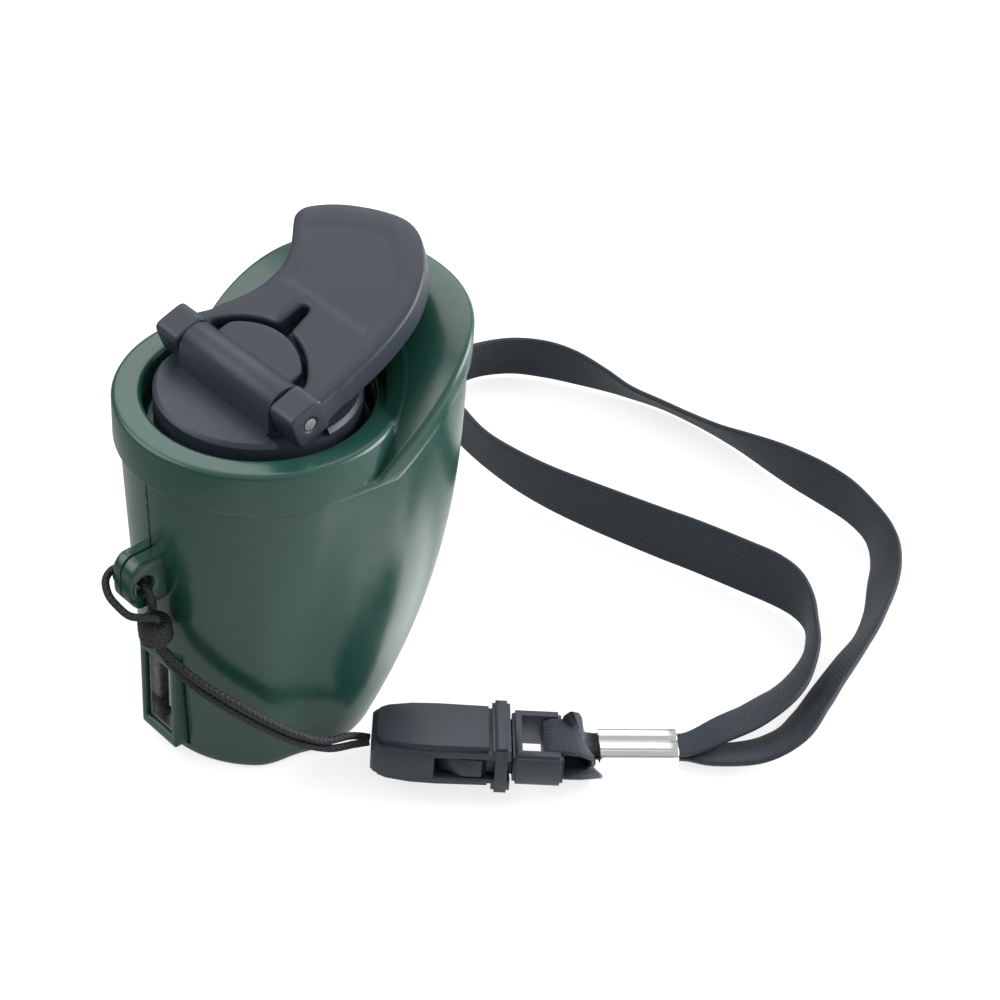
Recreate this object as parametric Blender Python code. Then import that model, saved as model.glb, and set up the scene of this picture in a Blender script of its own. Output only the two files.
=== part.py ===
"""Hand crank generator with a USB port and a wrist lanyard.

The housing stands on its small round base. The crank turns about +Z at the origin, +X points
to the long far lobe of the housing and -X to the end with the USB port and the lanyard eye.
Every length is in metres.
"""
import math

import bmesh
import bpy
import numpy as np
from mathutils import Matrix, Vector

MM = 0.001

# Housing: two tapered lobes, one round the crank and one beyond it, under a sloping deck
RING_HEIGHT = 60 * MM
NEAR_BASE_RADIUS = 17.7 * MM
NEAR_TOP_RADIUS = 20.7 * MM
FAR_BASE_RADIUS = 17.3 * MM
FAR_TOP_RADIUS = 22.2 * MM
FAR_BASE_REACH = 18.6 * MM
FAR_TOP_REACH = 33.4 * MM
LOBE_GROWTH_SHARE = 2.6
NEAR_BELLY_SHARE = 0.8
BASE_CHAMFER = 0.8 * MM
SHELL_WALL = 1.8 * MM
SHELL_FLOOR = 2.0 * MM
VALLEY_DEPTH = 1.3 * MM
VALLEY_TURN = math.radians(106)
VALLEY_HALF_TURN = math.radians(24)
VALLEY_TOP_SHARE = 0.85
COLUMNS = 48
TOUCH_GAP = 0.3 * MM
PIN_GAP = 0.15 * MM
SEAM_PLACE = 0.3 * MM

# Cover: a proud collar with the crank's well and the deck that climbs over the far lobe
COVER_PROUD = 0.7 * MM
COLLAR_HEIGHT = 7.0 * MM
DECK_COLLAR_HEIGHT = 4.6 * MM
COVER_WALL = 2.2 * MM
COVER_EDGE = 0.6 * MM
COVER_LIP_DEPTH = 2.0 * MM
COVER_LIP_WALL = 1.2 * MM
WELL_WALL = 3.7 * MM
WELL_RADIUS = NEAR_TOP_RADIUS - WELL_WALL
WELL_DEPTH = 6.0 * MM
SWEEP_MARGIN = 1.4 * MM
SWEEP_DRAFT = 0.3 * MM
WELL_FLOOR = 2.0 * MM
DECK_DROP = 5.6 * MM
DECK_RISE = 9.2 * MM
DECK_ARCH_LENGTH = 59.5 * MM

# Crank: hub disc in the well, hinge barrel across it, folding handle and spinning knob
HUB_CLEAR = 1.6 * MM
HUB_RADIUS = WELL_RADIUS - HUB_CLEAR
HUB_RISE = 1.0 * MM
HUB_SHAFT_RADIUS = 3.0 * MM
BOSS_INSET = 7.0 * MM
BOSS_RADIUS = HUB_RADIUS - BOSS_INSET
BOSS_RISE = 4.5 * MM
HINGE_BACK = 3.3 * MM
HINGE_RISE = 4.0 * MM
BARREL_RADIUS = 3.3 * MM
BARREL_INSET = 5.1 * MM
BARREL_HALF_LENGTH = HUB_RADIUS - BARREL_INSET
HINGE_PIN_RADIUS = 1.0 * MM
HANDLE_OVERHANG = 18.6 * MM
HANDLE_LENGTH = HUB_RADIUS + HANDLE_OVERHANG
HANDLE_PITCH = math.radians(20)
KNOB_RADIUS = 5.5 * MM
KNOB_LENGTH = 3.3 * MM
KNOB_OUT = 25 * MM
KNOB_SIDE = 3.0 * MM

BUSH_RADIUS = 4.0 * MM
BUSH_FLANGE_RADIUS = 5.8 * MM
BUSH_FLANGE = 0.7 * MM

# Gear train: crank gear, stepped idler gear and generator pinion
GEAR_MODULE = 0.6 * MM
CRANK_TEETH = 44
IDLER_SMALL_TEETH = 12
IDLER_LARGE_TEETH = 36
GENERATOR_TEETH = 10
CRANK_GEAR_WIDTH = 3.0 * MM
CRANK_GEAR_ROOM = 1.0 * MM
CRANK_GEAR_BOTTOM = RING_HEIGHT - WELL_DEPTH - WELL_FLOOR - CRANK_GEAR_ROOM - CRANK_GEAR_WIDTH
IDLER_DROP = 4.7 * MM
IDLER_LARGE_BOTTOM = CRANK_GEAR_BOTTOM - IDLER_DROP
PLATE_THICKNESS = 2.0 * MM
PLATE_CLEAR = 1.3 * MM
PLATE_BOTTOM = IDLER_LARGE_BOTTOM - PLATE_CLEAR - PLATE_THICKNESS

# Generator
BOARD_TOP = 18.0 * MM
CAN_RADIUS = 10.0 * MM
CAN_CLEAR = 2.0 * MM
CAN_HEIGHT = PLATE_BOTTOM - BOARD_TOP - CAN_CLEAR
ROTOR_SHAFT_RADIUS = 0.75 * MM

# USB port: a type A receptacle standing on its end behind a frame on the near end
PORT_CENTRE_HEIGHT = 11.0 * MM
USB_WIDTH = 5.7 * MM
USB_HEIGHT = 13.1 * MM
USB_DEPTH = 12.0 * MM
USB_WALL = 0.35 * MM
BEZEL_WIDTH = 8.6 * MM
BEZEL_HEIGHT = 17.4 * MM
BEZEL_FRONT = 19.9 * MM
BOARD_THICKNESS = 1.6 * MM

# Lanyard: doubled thin cord, side release buckle, flat strap and crimped ferrule
CORD_DIAMETER = 1.2 * MM
EYE_HEIGHT = 36 * MM
EYE_HOLE_RADIUS = 1.5 * MM
EYE_REACH = 25.6 * MM
BUCKLE_LENGTH = 29.6 * MM
BUCKLE_WIDTH = 14.6 * MM
BUCKLE_THICKNESS = 6.8 * MM
BUCKLE_CENTRE = Vector((13.3 * MM, -34.7 * MM, 5.6 * MM))
BUCKLE_TURN = math.radians(-43.4)
BUCKLE_ROLL = math.radians(13)
STRAP_WIDTH = 10 * MM
STRAP_THICKNESS = 0.9 * MM
FERRULE_LENGTH = 12.6 * MM

LONG = 60 * MM
UP = Vector((0, 0, 1))


def clear_scene():
    """Empty the scene without closing the file."""
    for old in list(bpy.data.objects):
        bpy.data.objects.remove(old, do_unlink=True)


def finish(name, color, roughness, metallic=0.0):
    """A plain material for one piece."""
    made = bpy.data.materials.new(name + "_finish")
    made.use_nodes = True
    shader = made.node_tree.nodes["Principled BSDF"]
    shader.inputs["Base Color"].default_value = (*color, 1)
    shader.inputs["Roughness"].default_value = roughness
    shader.inputs["Metallic"].default_value = metallic
    return made


GREEN = (0.018, 0.085, 0.045)
DARK = (0.022, 0.024, 0.028)
STEEL = (0.55, 0.55, 0.56)
BRASS = (0.60, 0.45, 0.18)
WHITE = (0.75, 0.75, 0.72)


def face_outward(bm):
    """Turn all faces of a closed bmesh to its outside."""
    bmesh.ops.recalc_face_normals(bm, faces=bm.faces)
    if bm.calc_volume(signed=True) < 0:
        bmesh.ops.reverse_faces(bm, faces=bm.faces)


def add(name, bm, look, parent=None):
    """Make a named object from a bmesh, outside facing out, round sides shaded smooth."""
    face_outward(bm)
    mesh = bpy.data.meshes.new(name)
    bm.to_mesh(mesh)
    bm.free()
    mesh.shade_smooth()
    mesh.set_sharp_from_angle(angle=math.radians(35))
    made = bpy.data.objects.new(name, mesh)
    made.data.materials.append(finish(name, *look))
    bpy.context.collection.objects.link(made)
    made.parent = parent
    return made


def axis_empty(name, location, rotation=(0, 0, 0), parent=None):
    """An empty that stands on a joint's axis."""
    made = bpy.data.objects.new(name, None)
    made.location = location
    made.rotation_euler = rotation
    made.parent = parent
    bpy.context.collection.objects.link(made)
    return made


def combine(bm, tools, operation):
    """Union a bmesh with others, or cut them from it, and return the result."""
    body = bpy.data.objects.new("work", bpy.data.meshes.new("work"))
    bmesh.ops.triangulate(bm, faces=bm.faces)
    face_outward(bm)
    bm.to_mesh(body.data)
    bm.free()
    bpy.context.collection.objects.link(body)
    spare = [body]
    for tool in tools:
        bmesh.ops.triangulate(tool, faces=tool.faces)
        face_outward(tool)
        guide = bpy.data.objects.new("guide", bpy.data.meshes.new("guide"))
        tool.to_mesh(guide.data)
        tool.free()
        bpy.context.collection.objects.link(guide)
        guide.hide_render = True
        guide.display_type = "WIRE"
        step = body.modifiers.new("step", "BOOLEAN")
        step.operation = operation
        step.solver = "EXACT"
        step.object = guide
        spare.append(guide)
    bpy.context.view_layer.update()
    seen = body.evaluated_get(bpy.context.evaluated_depsgraph_get())
    made = bmesh.new()
    made.from_mesh(seen.to_mesh())
    seen.to_mesh_clear()
    for old in spare:
        bpy.data.objects.remove(old, do_unlink=True)
    bmesh.ops.dissolve_limit(made, angle_limit=math.radians(0.1), verts=made.verts,
                             edges=made.edges)
    return made


def join(bm, *tools):
    return combine(bm, tools, "UNION")


def cut(bm, *tools):
    return combine(bm, tools, "DIFFERENCE")


def box(low, high):
    """A box between two corners."""
    low, high = Vector(low), Vector(high)
    bm = bmesh.new()
    bmesh.ops.create_cube(bm, size=1)
    size = high - low
    bmesh.ops.scale(bm, vec=size, verts=bm.verts)
    bmesh.ops.translate(bm, vec=(low + high) / 2, verts=bm.verts)
    return bm


def cylinder(radius, low, high, centre=(0, 0), sides=24, axis="Z"):
    """A cylinder along one axis; centre holds the other two coordinates in axis order."""
    bm = bmesh.new()
    bmesh.ops.create_cone(bm, cap_ends=True, segments=sides, radius1=radius, radius2=radius,
                          depth=high - low)
    middle = (low + high) / 2
    if axis == "Y":
        bmesh.ops.rotate(bm, matrix=Matrix.Rotation(math.pi / 2, 3, "X"), verts=bm.verts)
        place = Vector((centre[0], middle, centre[1]))
    elif axis == "X":
        bmesh.ops.rotate(bm, matrix=Matrix.Rotation(math.pi / 2, 3, "Y"), verts=bm.verts)
        place = Vector((middle, centre[0], centre[1]))
    else:
        place = Vector((centre[0], centre[1], middle))
    bmesh.ops.translate(bm, vec=place, verts=bm.verts)
    return bm


def prism(points, low, high):
    """An outline in X and Y, extruded from low to high along Z."""
    bm = bmesh.new()
    face = bm.faces.new([bm.verts.new((x, y, low)) for x, y in points])
    grown = bmesh.ops.extrude_face_region(bm, geom=[face])
    tops = [v for v in grown["geom"] if isinstance(v, bmesh.types.BMVert)]
    bmesh.ops.translate(bm, vec=(0, 0, high - low), verts=tops)
    return bm


def prism_along_y(points, low, high):
    """An outline in X and Z, extruded from low to high along Y."""
    bm = bmesh.new()
    face = bm.faces.new([bm.verts.new((x, low, z)) for x, z in points])
    grown = bmesh.ops.extrude_face_region(bm, geom=[face])
    tops = [v for v in grown["geom"] if isinstance(v, bmesh.types.BMVert)]
    bmesh.ops.translate(bm, vec=(0, high - low, 0), verts=tops)
    return bm


def arc(radius, start, end, count, centre=(0, 0)):
    """Points along an arc, both ends included."""
    turns = [start + (end - start) * k / (count - 1) for k in range(count)]
    return [(centre[0] + radius * math.cos(t), centre[1] + radius * math.sin(t)) for t in turns]


def turned(profile, centre=(0, 0), sides=32):
    """A closed profile of radius and height pairs, turned about a line along Z."""
    bm = bmesh.new()
    rings = []
    for radius, height in profile:
        if radius == 0:
            rings.append([bm.verts.new((centre[0], centre[1], height))])
            continue
        ring = []
        for k in range(sides):
            turn = 2 * math.pi * k / sides
            ring.append(bm.verts.new((centre[0] + radius * math.cos(turn),
                                      centre[1] + radius * math.sin(turn), height)))
        rings.append(ring)
    last = len(rings) if profile[0][0] > 0 else len(rings) - 1
    for n in range(last):
        skin_between(bm, rings[n], rings[(n + 1) % len(rings)])
    return bm


def skin_between(bm, one, two):
    """Faces between two rings, either of which may be a single pole."""
    if len(one) == 1 and len(two) == 1:
        return
    count = max(len(one), len(two))
    for k in range(count):
        m = (k + 1) % count
        corners = [one[k % len(one)], one[m % len(one)], two[m % len(two)], two[k % len(two)]]
        kept = list(dict.fromkeys(corners))
        bm.faces.new(kept)


def lobe_growth(height):
    """How far the far lobe has grown at a height, from 0 at the base to 1 at the ring."""
    share = min(max(height / RING_HEIGHT, 0), 1)
    return 1 - (1 - share) ** LOBE_GROWTH_SHARE


def body_radius(turn, height):
    """Distance from the crank axis to the housing's outside, on the hull of both lobes."""
    growth = lobe_growth(height)
    belly = (height / RING_HEIGHT) ** NEAR_BELLY_SHARE
    near = NEAR_BASE_RADIUS + (NEAR_TOP_RADIUS - NEAR_BASE_RADIUS) * belly
    far = FAR_BASE_RADIUS + (FAR_TOP_RADIUS - FAR_BASE_RADIUS) * growth
    reach = FAR_BASE_REACH + (FAR_TOP_REACH - FAR_BASE_REACH) * growth
    step = reach - far
    side = abs(math.remainder(turn, 2 * math.pi))
    radius = near
    if step > abs(near - far):
        tangent = math.acos((near - far) / step)
        meet = math.atan2(far * math.sin(tangent), step + far * math.cos(tangent))
        if side < meet:
            inner = far ** 2 - (step * math.sin(side)) ** 2
            radius = step * math.cos(side) + math.sqrt(inner)
        elif side < tangent:
            radius = near / math.cos(side - tangent)
    away = abs(side - VALLEY_TURN) / VALLEY_HALF_TURN
    if away < 1:
        fade = min(max((VALLEY_TOP_SHARE - height / RING_HEIGHT) / VALLEY_TOP_SHARE, 0), 1)
        dip = math.cos(away * math.pi / 2) ** 2 * math.sin(fade * math.pi / 2)
        radius -= VALLEY_DEPTH * dip
    return radius


def deck_height(x):
    """Height of the arched deck above the base, level up to the arch's foot."""
    arch = DECK_RISE - (FAR_TOP_REACH + COVER_PROUD - x) ** 2 / DECK_ARCH_LENGTH
    return RING_HEIGHT + max(arch, -DECK_DROP)


def cover_radius(turn):
    return body_radius(turn, RING_HEIGHT) + COVER_PROUD


def cover_edge(turn):
    """Height of the collar's lower edge, where the cover meets the shells."""
    x = cover_radius(turn) * math.cos(turn)
    return max(RING_HEIGHT - COLLAR_HEIGHT, deck_height(x) - DECK_COLLAR_HEIGHT)


SEAM_OVERRUN = 1.0 * MM
LEDGE_DEPTH = 1.2 * MM
LEDGE_THICKNESS = 1.5 * MM
OUTER_LEVEL_SHARES = (0.10, 0.20, 0.33, 0.47, 0.62, 0.80, 1.0)
INNER_LEVEL_SHARES = (0.4,)


def shell_column(turn):
    """Radius and height pairs up the outside of a shell and down its inside."""
    top = cover_edge(turn) - TOUCH_GAP
    ledge = PLATE_BOTTOM - TOUCH_GAP
    column = [(body_radius(turn, 0) - BASE_CHAMFER, 0), (body_radius(turn, 0), BASE_CHAMFER)]
    column += [(body_radius(turn, top * share), top * share) for share in OUTER_LEVEL_SHARES]
    below = ledge - LEDGE_THICKNESS
    floor = SHELL_FLOOR
    column += [
        (body_radius(turn, top) - SHELL_WALL, top),
        (body_radius(turn, ledge) - SHELL_WALL, ledge),
        (body_radius(turn, ledge) - SHELL_WALL - LEDGE_DEPTH, ledge),
        (body_radius(turn, below) - SHELL_WALL - LEDGE_DEPTH, below),
        (body_radius(turn, below - LEDGE_DEPTH) - SHELL_WALL, below - LEDGE_DEPTH),
    ]
    for share in INNER_LEVEL_SHARES:
        height = floor + (below - LEDGE_DEPTH - floor) * share
        column.append((body_radius(turn, height) - SHELL_WALL, height))
    column.append((body_radius(turn, floor) - SHELL_WALL, floor))
    return column


def half_shell(side):
    """Half of the housing's wall and floor, which runs a little past the seam plane."""
    bm = bmesh.new()
    seam = SEAM_PLACE - side * 2 * TOUCH_GAP
    pole_low = bm.verts.new((0, seam, 0))
    pole_high = bm.verts.new((0, seam, SHELL_FLOOR))
    grid = []
    for k in range(COLUMNS // 2 + 1):
        turn = side * 2 * math.pi * k / COLUMNS
        line = []
        for radius, height in shell_column(turn):
            y = radius * math.sin(turn)
            if k in (0, COLUMNS // 2):
                y = seam
            line.append(bm.verts.new((radius * math.cos(turn), y, height)))
        grid.append([pole_low] + line + [pole_high])
    for here, there in zip(grid, grid[1:]):
        for n in range(len(here) - 1):
            corners = [here[n], there[n], there[n + 1], here[n + 1]]
            bm.faces.new(list(dict.fromkeys(corners)))
    bm.faces.new(grid[0])
    bm.faces.new(grid[-1])
    return bm


# Screws of the shells: places along X and Z and how far each post runs from the seam
NEAR_SCREW_DROP = 9.0 * MM
FAR_SCREW_DROP = 7.0 * MM
LOW_SCREW_RISE = 6.0 * MM
SHELL_SCREWS = (
    (-13.0 * MM, PLATE_BOTTOM - NEAR_SCREW_DROP, 10.6 * MM),
    (22.0 * MM, PLATE_BOTTOM - FAR_SCREW_DROP, 15.4 * MM),
    (15.5 * MM, SHELL_FLOOR + LOW_SCREW_RISE, 11.6 * MM),
)
SCREW_POST_RADIUS = 2.6 * MM
SCREW_RADIUS = 0.8 * MM
SCREW_HEAD_RADIUS = 1.9 * MM
SCREW_HEAD_HEIGHT = 1.3 * MM
SHELL_SCREW_SEAT = 5.0 * MM
SHELL_SCREW_REACH = 6.0 * MM
PLATE_POST_RADIUS = 2.2 * MM
PLATE_POST_LENGTH = 9.0 * MM
PLATE_SCREW_REACH = 5.0 * MM
PLATE_POSTS = ((-11.0 * MM, 11.0 * MM), (21.5 * MM, 14.0 * MM))


EYE_HALF_RISE = 4.3 * MM
EYE_NOSE_RISE = 2.6 * MM
EYE_CHAMFER = 1.5 * MM
EYE_HALF_WIDTH = 2.5 * MM


def eye_lug(side):
    """Half of the lanyard eye, a thick lug with a round hole along Y."""
    root = NEAR_TOP_RADIUS - SHELL_WALL
    points = [(-root, -EYE_HALF_RISE), (-EYE_REACH + EYE_CHAMFER, -EYE_HALF_RISE),
              (-EYE_REACH, -EYE_NOSE_RISE), (-EYE_REACH, EYE_NOSE_RISE),
              (-EYE_REACH + EYE_CHAMFER, EYE_NOSE_RISE + EYE_CHAMFER), (-root, EYE_HALF_RISE)]
    raised = [(x, z + EYE_HEIGHT) for x, z in points]
    return prism_along_y(raised, SEAM_PLACE - side * SEAM_OVERRUN, side * EYE_HALF_WIDTH)


def build_shell(name, side):
    """A shell half with its screw posts, plate posts, eye and port window."""
    shell = half_shell(side)
    posts = []
    for x, z, run in SHELL_SCREWS:
        ends = sorted((SEAM_PLACE - side * SEAM_OVERRUN, side * run))
        posts.append(cylinder(SCREW_POST_RADIUS, *ends, centre=(x, z), sides=16, axis="Y"))
    for x, y in PLATE_POSTS:
        top = PLATE_BOTTOM - TOUCH_GAP
        posts.append(cylinder(PLATE_POST_RADIUS, top - PLATE_POST_LENGTH, top,
                              centre=(x, side * y), sides=12))
    posts.append(eye_lug(side))
    shell = join(shell, *posts)
    seam = sorted((SEAM_PLACE + side * TOUCH_GAP / 2, -side * LONG))
    holes = [box((-LONG, seam[0], -LONG), (LONG, seam[1], 2 * LONG))]
    for x, z, run in SHELL_SCREWS:
        hole = SCREW_RADIUS + PIN_GAP
        if side > 0:
            holes.append(cylinder(hole, -LONG, LONG, centre=(x, z), sides=12, axis="Y"))
            holes.append(cylinder(SCREW_HEAD_RADIUS + TOUCH_GAP, SHELL_SCREW_SEAT, LONG,
                                  centre=(x, z), sides=16, axis="Y"))
        else:
            holes.append(cylinder(hole, -SHELL_SCREW_REACH - TOUCH_GAP, LONG, centre=(x, z),
                                  sides=12, axis="Y"))
    for x, y in PLATE_POSTS:
        holes.append(cylinder(SCREW_RADIUS + PIN_GAP,
                              PLATE_BOTTOM - PLATE_SCREW_REACH - TOUCH_GAP, PLATE_BOTTOM,
                              centre=(x, side * y), sides=10))
    hole_x = -(EYE_REACH + NEAR_TOP_RADIUS) / 2
    holes.append(cylinder(EYE_HOLE_RADIUS, -LONG, LONG, centre=(hole_x, EYE_HEIGHT), sides=12,
                          axis="Y"))
    half_width = BEZEL_WIDTH / 2 + TOUCH_GAP
    half_height = BEZEL_HEIGHT / 2 + TOUCH_GAP
    holes.append(box((-LONG, -half_width, PORT_CENTRE_HEIGHT - half_height),
                     (-NEAR_BASE_RADIUS / 2, half_width, PORT_CENTRE_HEIGHT + half_height)))
    return add(name, cut(shell, *holes), (GREEN, 0.3))


def cover_column(turn):
    """The cover's closed profile in one direction from the crank axis."""
    outside = cover_radius(turn)
    edge = cover_edge(turn)
    cosine = math.cos(turn)
    ring = NEAR_TOP_RADIUS + COVER_PROUD
    top = RING_HEIGHT
    floor_top = RING_HEIGHT - WELL_DEPTH
    under = floor_top - WELL_FLOOR
    hole = BUSH_RADIUS + PIN_GAP
    width = outside - ring
    wide = min(width / (2 * COVER_EDGE), 1)

    def surface(radius):
        return max(top, deck_height(radius * cosine))

    sweep = WELL_RADIUS + SWEEP_MARGIN
    crest = sweep + SWEEP_DRAFT
    column = [(hole, floor_top), (WELL_RADIUS, floor_top), (WELL_RADIUS, top - COVER_EDGE),
              (WELL_RADIUS + COVER_EDGE, top), (sweep, top), (crest, surface(crest)),
              (ring - COVER_EDGE, surface(ring - COVER_EDGE)),
              (ring, max(top - COVER_EDGE, deck_height(ring * cosine)))]
    foot = deck_height(ring * cosine)
    rim = deck_height(outside * cosine)
    inset = min(COVER_EDGE, width / 2)
    drop = COVER_EDGE / 2
    spread = (0.0, 0.3, 0.65, 1.0)
    for share in spread:
        radius = ring + TOUCH_GAP * wide + (width - inset - TOUCH_GAP * wide) * share
        flat = foot - drop * share
        column.append((max(radius, ring), wide * deck_height(radius * cosine) + (1 - wide) * flat))
    column += [(outside, rim - COVER_EDGE), (outside, edge + COVER_EDGE / 2),
               (outside - COVER_EDGE / 2, edge)]
    lip = body_radius(turn, edge) - SHELL_WALL - PIN_GAP
    inner = lip - COVER_LIP_WALL
    column += [(lip, edge), (lip, edge - COVER_LIP_DEPTH), (inner, edge - COVER_LIP_DEPTH)]
    wall = min(WELL_RADIUS + SHELL_WALL, inner)
    hollow = min(max((inner - wall) / COVER_WALL, 0), 1)
    start = edge - COVER_LIP_DEPTH
    for share, radius in ((1 / 3, inner), (2 / 3, wall)):
        flat = start + (under - start) * share
        deep = deck_height(radius * cosine) - COVER_WALL
        column.append((radius, hollow * deep + (1 - hollow) * flat))
    column += [(wall, under), (hole, under)]
    return column


def build_cover():
    bm = bmesh.new()
    grid = []
    for k in range(COLUMNS):
        turn = 2 * math.pi * k / COLUMNS
        grid.append([bm.verts.new((r * math.cos(turn), r * math.sin(turn), z))
                     for r, z in cover_column(turn)])
    for k in range(COLUMNS):
        here, there = grid[k], grid[(k + 1) % COLUMNS]
        for n in range(len(here)):
            m = (n + 1) % len(here)
            bm.faces.new((here[n], there[n], there[m], here[m]))
    return add("top_cover", bm, (GREEN, 0.3))


BEZEL_DEPTH = 4.2 * MM
BEZEL_CHAMFER = 0.5 * MM
BEZEL_CLEAR = 0.35 * MM


def build_bezel():
    """The frame round the USB port, with a chamfered front and the receptacle's window."""
    middle = PORT_CENTRE_HEIGHT
    frame = box((-BEZEL_FRONT, -BEZEL_WIDTH / 2, middle - BEZEL_HEIGHT / 2),
                (-BEZEL_FRONT + BEZEL_DEPTH, BEZEL_WIDTH / 2, middle + BEZEL_HEIGHT / 2))
    front = [e for e in frame.edges if all(v.co.x < -BEZEL_FRONT + BEZEL_CHAMFER for v in e.verts)]
    bmesh.ops.bevel(frame, geom=front, offset=BEZEL_CHAMFER, segments=2, affect="EDGES")
    half_width = USB_WIDTH / 2 + BEZEL_CLEAR
    half_height = USB_HEIGHT / 2 + BEZEL_CLEAR
    window = box((-LONG, -half_width, middle - half_height), (0, half_width, middle + half_height))
    return add("port_bezel", cut(frame, window), (GREEN, 0.32))


USB_RECESS = 0.7 * MM
TONGUE_BACK = 2.4 * MM
TONGUE_THICKNESS = 1.9 * MM
TONGUE_OFFSET = 0.9 * MM


def build_usb():
    """The steel receptacle and the plastic tongue with its four contacts."""
    middle = PORT_CENTRE_HEIGHT
    front = -BEZEL_FRONT + USB_RECESS
    back = front + USB_DEPTH
    inner = USB_WIDTH / 2 - USB_WALL
    tall = USB_HEIGHT / 2 - USB_WALL
    can = box((front, -USB_WIDTH / 2, middle - USB_HEIGHT / 2),
              (back, USB_WIDTH / 2, middle + USB_HEIGHT / 2))
    hollow = box((-LONG, -inner, middle - tall), (back - USB_WALL, inner, middle + tall))
    add("usb_shell", cut(can, hollow), (STEEL, 0.25, 1.0))
    low = inner - TOUCH_GAP - TONGUE_OFFSET - TONGUE_THICKNESS
    tongue = box((front + TONGUE_BACK, low, middle - tall + TONGUE_OFFSET),
                 (back - USB_WALL - TOUCH_GAP, low + TONGUE_THICKNESS, middle + tall - TONGUE_OFFSET))
    base_front = back - USB_WALL - TOUCH_GAP - TONGUE_BACK
    base = box((base_front, -inner + TOUCH_GAP, middle - tall + TOUCH_GAP),
               (back - USB_WALL - TOUCH_GAP, inner - TOUCH_GAP, middle + tall - TOUCH_GAP))
    add("usb_tongue", join(base, tongue), (WHITE, 0.5))


BOARD_FRONT = -14.5 * MM
BOARD_BACK = 11.8 * MM
CAPACITOR_RADIUS = 2.5 * MM
CAPACITOR_LENGTH = 8.0 * MM
CAPACITOR_PLACE = (6.5 * MM, 8.0 * MM)
REGULATOR_SIZE = (5.0 * MM, 1.6 * MM, 4.0 * MM)
REGULATOR_PLACE = (-2.0 * MM, 13.5 * MM)


def build_board():
    """The charging board, standing on the floor beside the receptacle, and two of its parts."""
    face = USB_WIDTH / 2 + TOUCH_GAP
    back = face + BOARD_THICKNESS
    board = box((BOARD_FRONT, face, SHELL_FLOOR + TOUCH_GAP), (BOARD_BACK, back, BOARD_TOP))
    add("circuit_board", board, ((0.02, 0.12, 0.05), 0.45))
    x, z = CAPACITOR_PLACE
    bead = CAPACITOR_RADIUS / 5
    y = face - TOUCH_GAP - CAPACITOR_RADIUS
    can = turned([(0, 0), (CAPACITOR_RADIUS - bead, 0), (CAPACITOR_RADIUS, bead),
                  (CAPACITOR_RADIUS, CAPACITOR_LENGTH - bead),
                  (CAPACITOR_RADIUS - bead, CAPACITOR_LENGTH), (0, CAPACITOR_LENGTH)], sides=16)
    bmesh.ops.translate(can, vec=(x, y, z - CAPACITOR_LENGTH / 2), verts=can.verts)
    add("capacitor", can, ((0.03, 0.04, 0.10), 0.35))
    x, z = REGULATOR_PLACE
    size = REGULATOR_SIZE
    chip = box((x - size[0] / 2, back + TOUCH_GAP, z - size[2] / 2),
               (x + size[0] / 2, back + TOUCH_GAP + size[1], z + size[2] / 2))
    add("regulator", chip, (DARK, 0.5))


HUB_EDGE = 0.6 * MM
SHAFT_CLEAR = 0.1 * MM
SHAFT_END = CRANK_GEAR_BOTTOM - SHAFT_CLEAR
HUB_SCREW_RADIUS = 1.0 * MM
HUB_SCREW_HEAD_RADIUS = 4.2 * MM
HUB_SCREW_HEAD = 0.8 * MM
HUB_SCREW_REACH = 6.0 * MM
NOTCH_FRONT = 3.9 * MM
NOTCH_DROP = 0.9 * MM
KNUCKLE_PROUD = 0.4 * MM
KNUCKLE_INNER = BARREL_HALF_LENGTH + TOUCH_GAP
KNUCKLE_OUTER = HUB_RADIUS + KNUCKLE_PROUD
KNUCKLE_HALF = 3.0 * MM
KNUCKLE_CORNER = 1.4 * MM


def build_hub(axis):
    """Hub disc with its shaft, the raised boss behind the hinge and the hinge barrel."""
    under = RING_HEIGHT - WELL_DEPTH + PIN_GAP + BUSH_FLANGE + PIN_GAP * 2
    top = RING_HEIGHT + HUB_RISE
    pilot = HUB_SCREW_RADIUS + PIN_GAP
    profile = [(pilot, SHAFT_END), (HUB_SHAFT_RADIUS, SHAFT_END), (HUB_SHAFT_RADIUS, under),
               (HUB_RADIUS - HUB_EDGE, under), (HUB_RADIUS, under + HUB_EDGE),
               (HUB_RADIUS, top - HUB_EDGE), (HUB_RADIUS - HUB_EDGE, top), (0, top),
               (0, SHAFT_END + HUB_SCREW_REACH + TOUCH_GAP),
               (pilot, SHAFT_END + HUB_SCREW_REACH + TOUCH_GAP)]
    hub = turned(profile, sides=48)
    hinge = RING_HEIGHT + HINGE_RISE
    limit = math.acos(-HINGE_BACK / BOSS_RADIUS)
    boss = prism(arc(BOSS_RADIUS, -limit, limit, 25), top - HUB_EDGE, RING_HEIGHT + BOSS_RISE)
    barrel = cylinder(BARREL_RADIUS, -BARREL_HALF_LENGTH, BARREL_HALF_LENGTH,
                      centre=(-HINGE_BACK, hinge), sides=16, axis="Y")
    seat = box((-HINGE_BACK - BARREL_RADIUS, -BARREL_HALF_LENGTH, top - HUB_EDGE),
               (-HINGE_BACK + BARREL_RADIUS, BARREL_HALF_LENGTH, hinge))
    hub = join(hub, boss, barrel, seat)
    tools = []
    for side in (-1, 1):
        ends = sorted((side * (BARREL_HALF_LENGTH + PIN_GAP), side * LONG))
        tools.append(box((-HINGE_BACK - NOTCH_FRONT, ends[0], top - NOTCH_DROP),
                         (-HINGE_BACK + NOTCH_FRONT, ends[1], top + LONG)))
    tools.append(cylinder(HINGE_PIN_RADIUS + PIN_GAP, -LONG, LONG,
                          centre=(-HINGE_BACK, hinge), sides=14, axis="Y"))
    add("crank_hub", cut(hub, *tools), (DARK, 0.35), axis)


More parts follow.
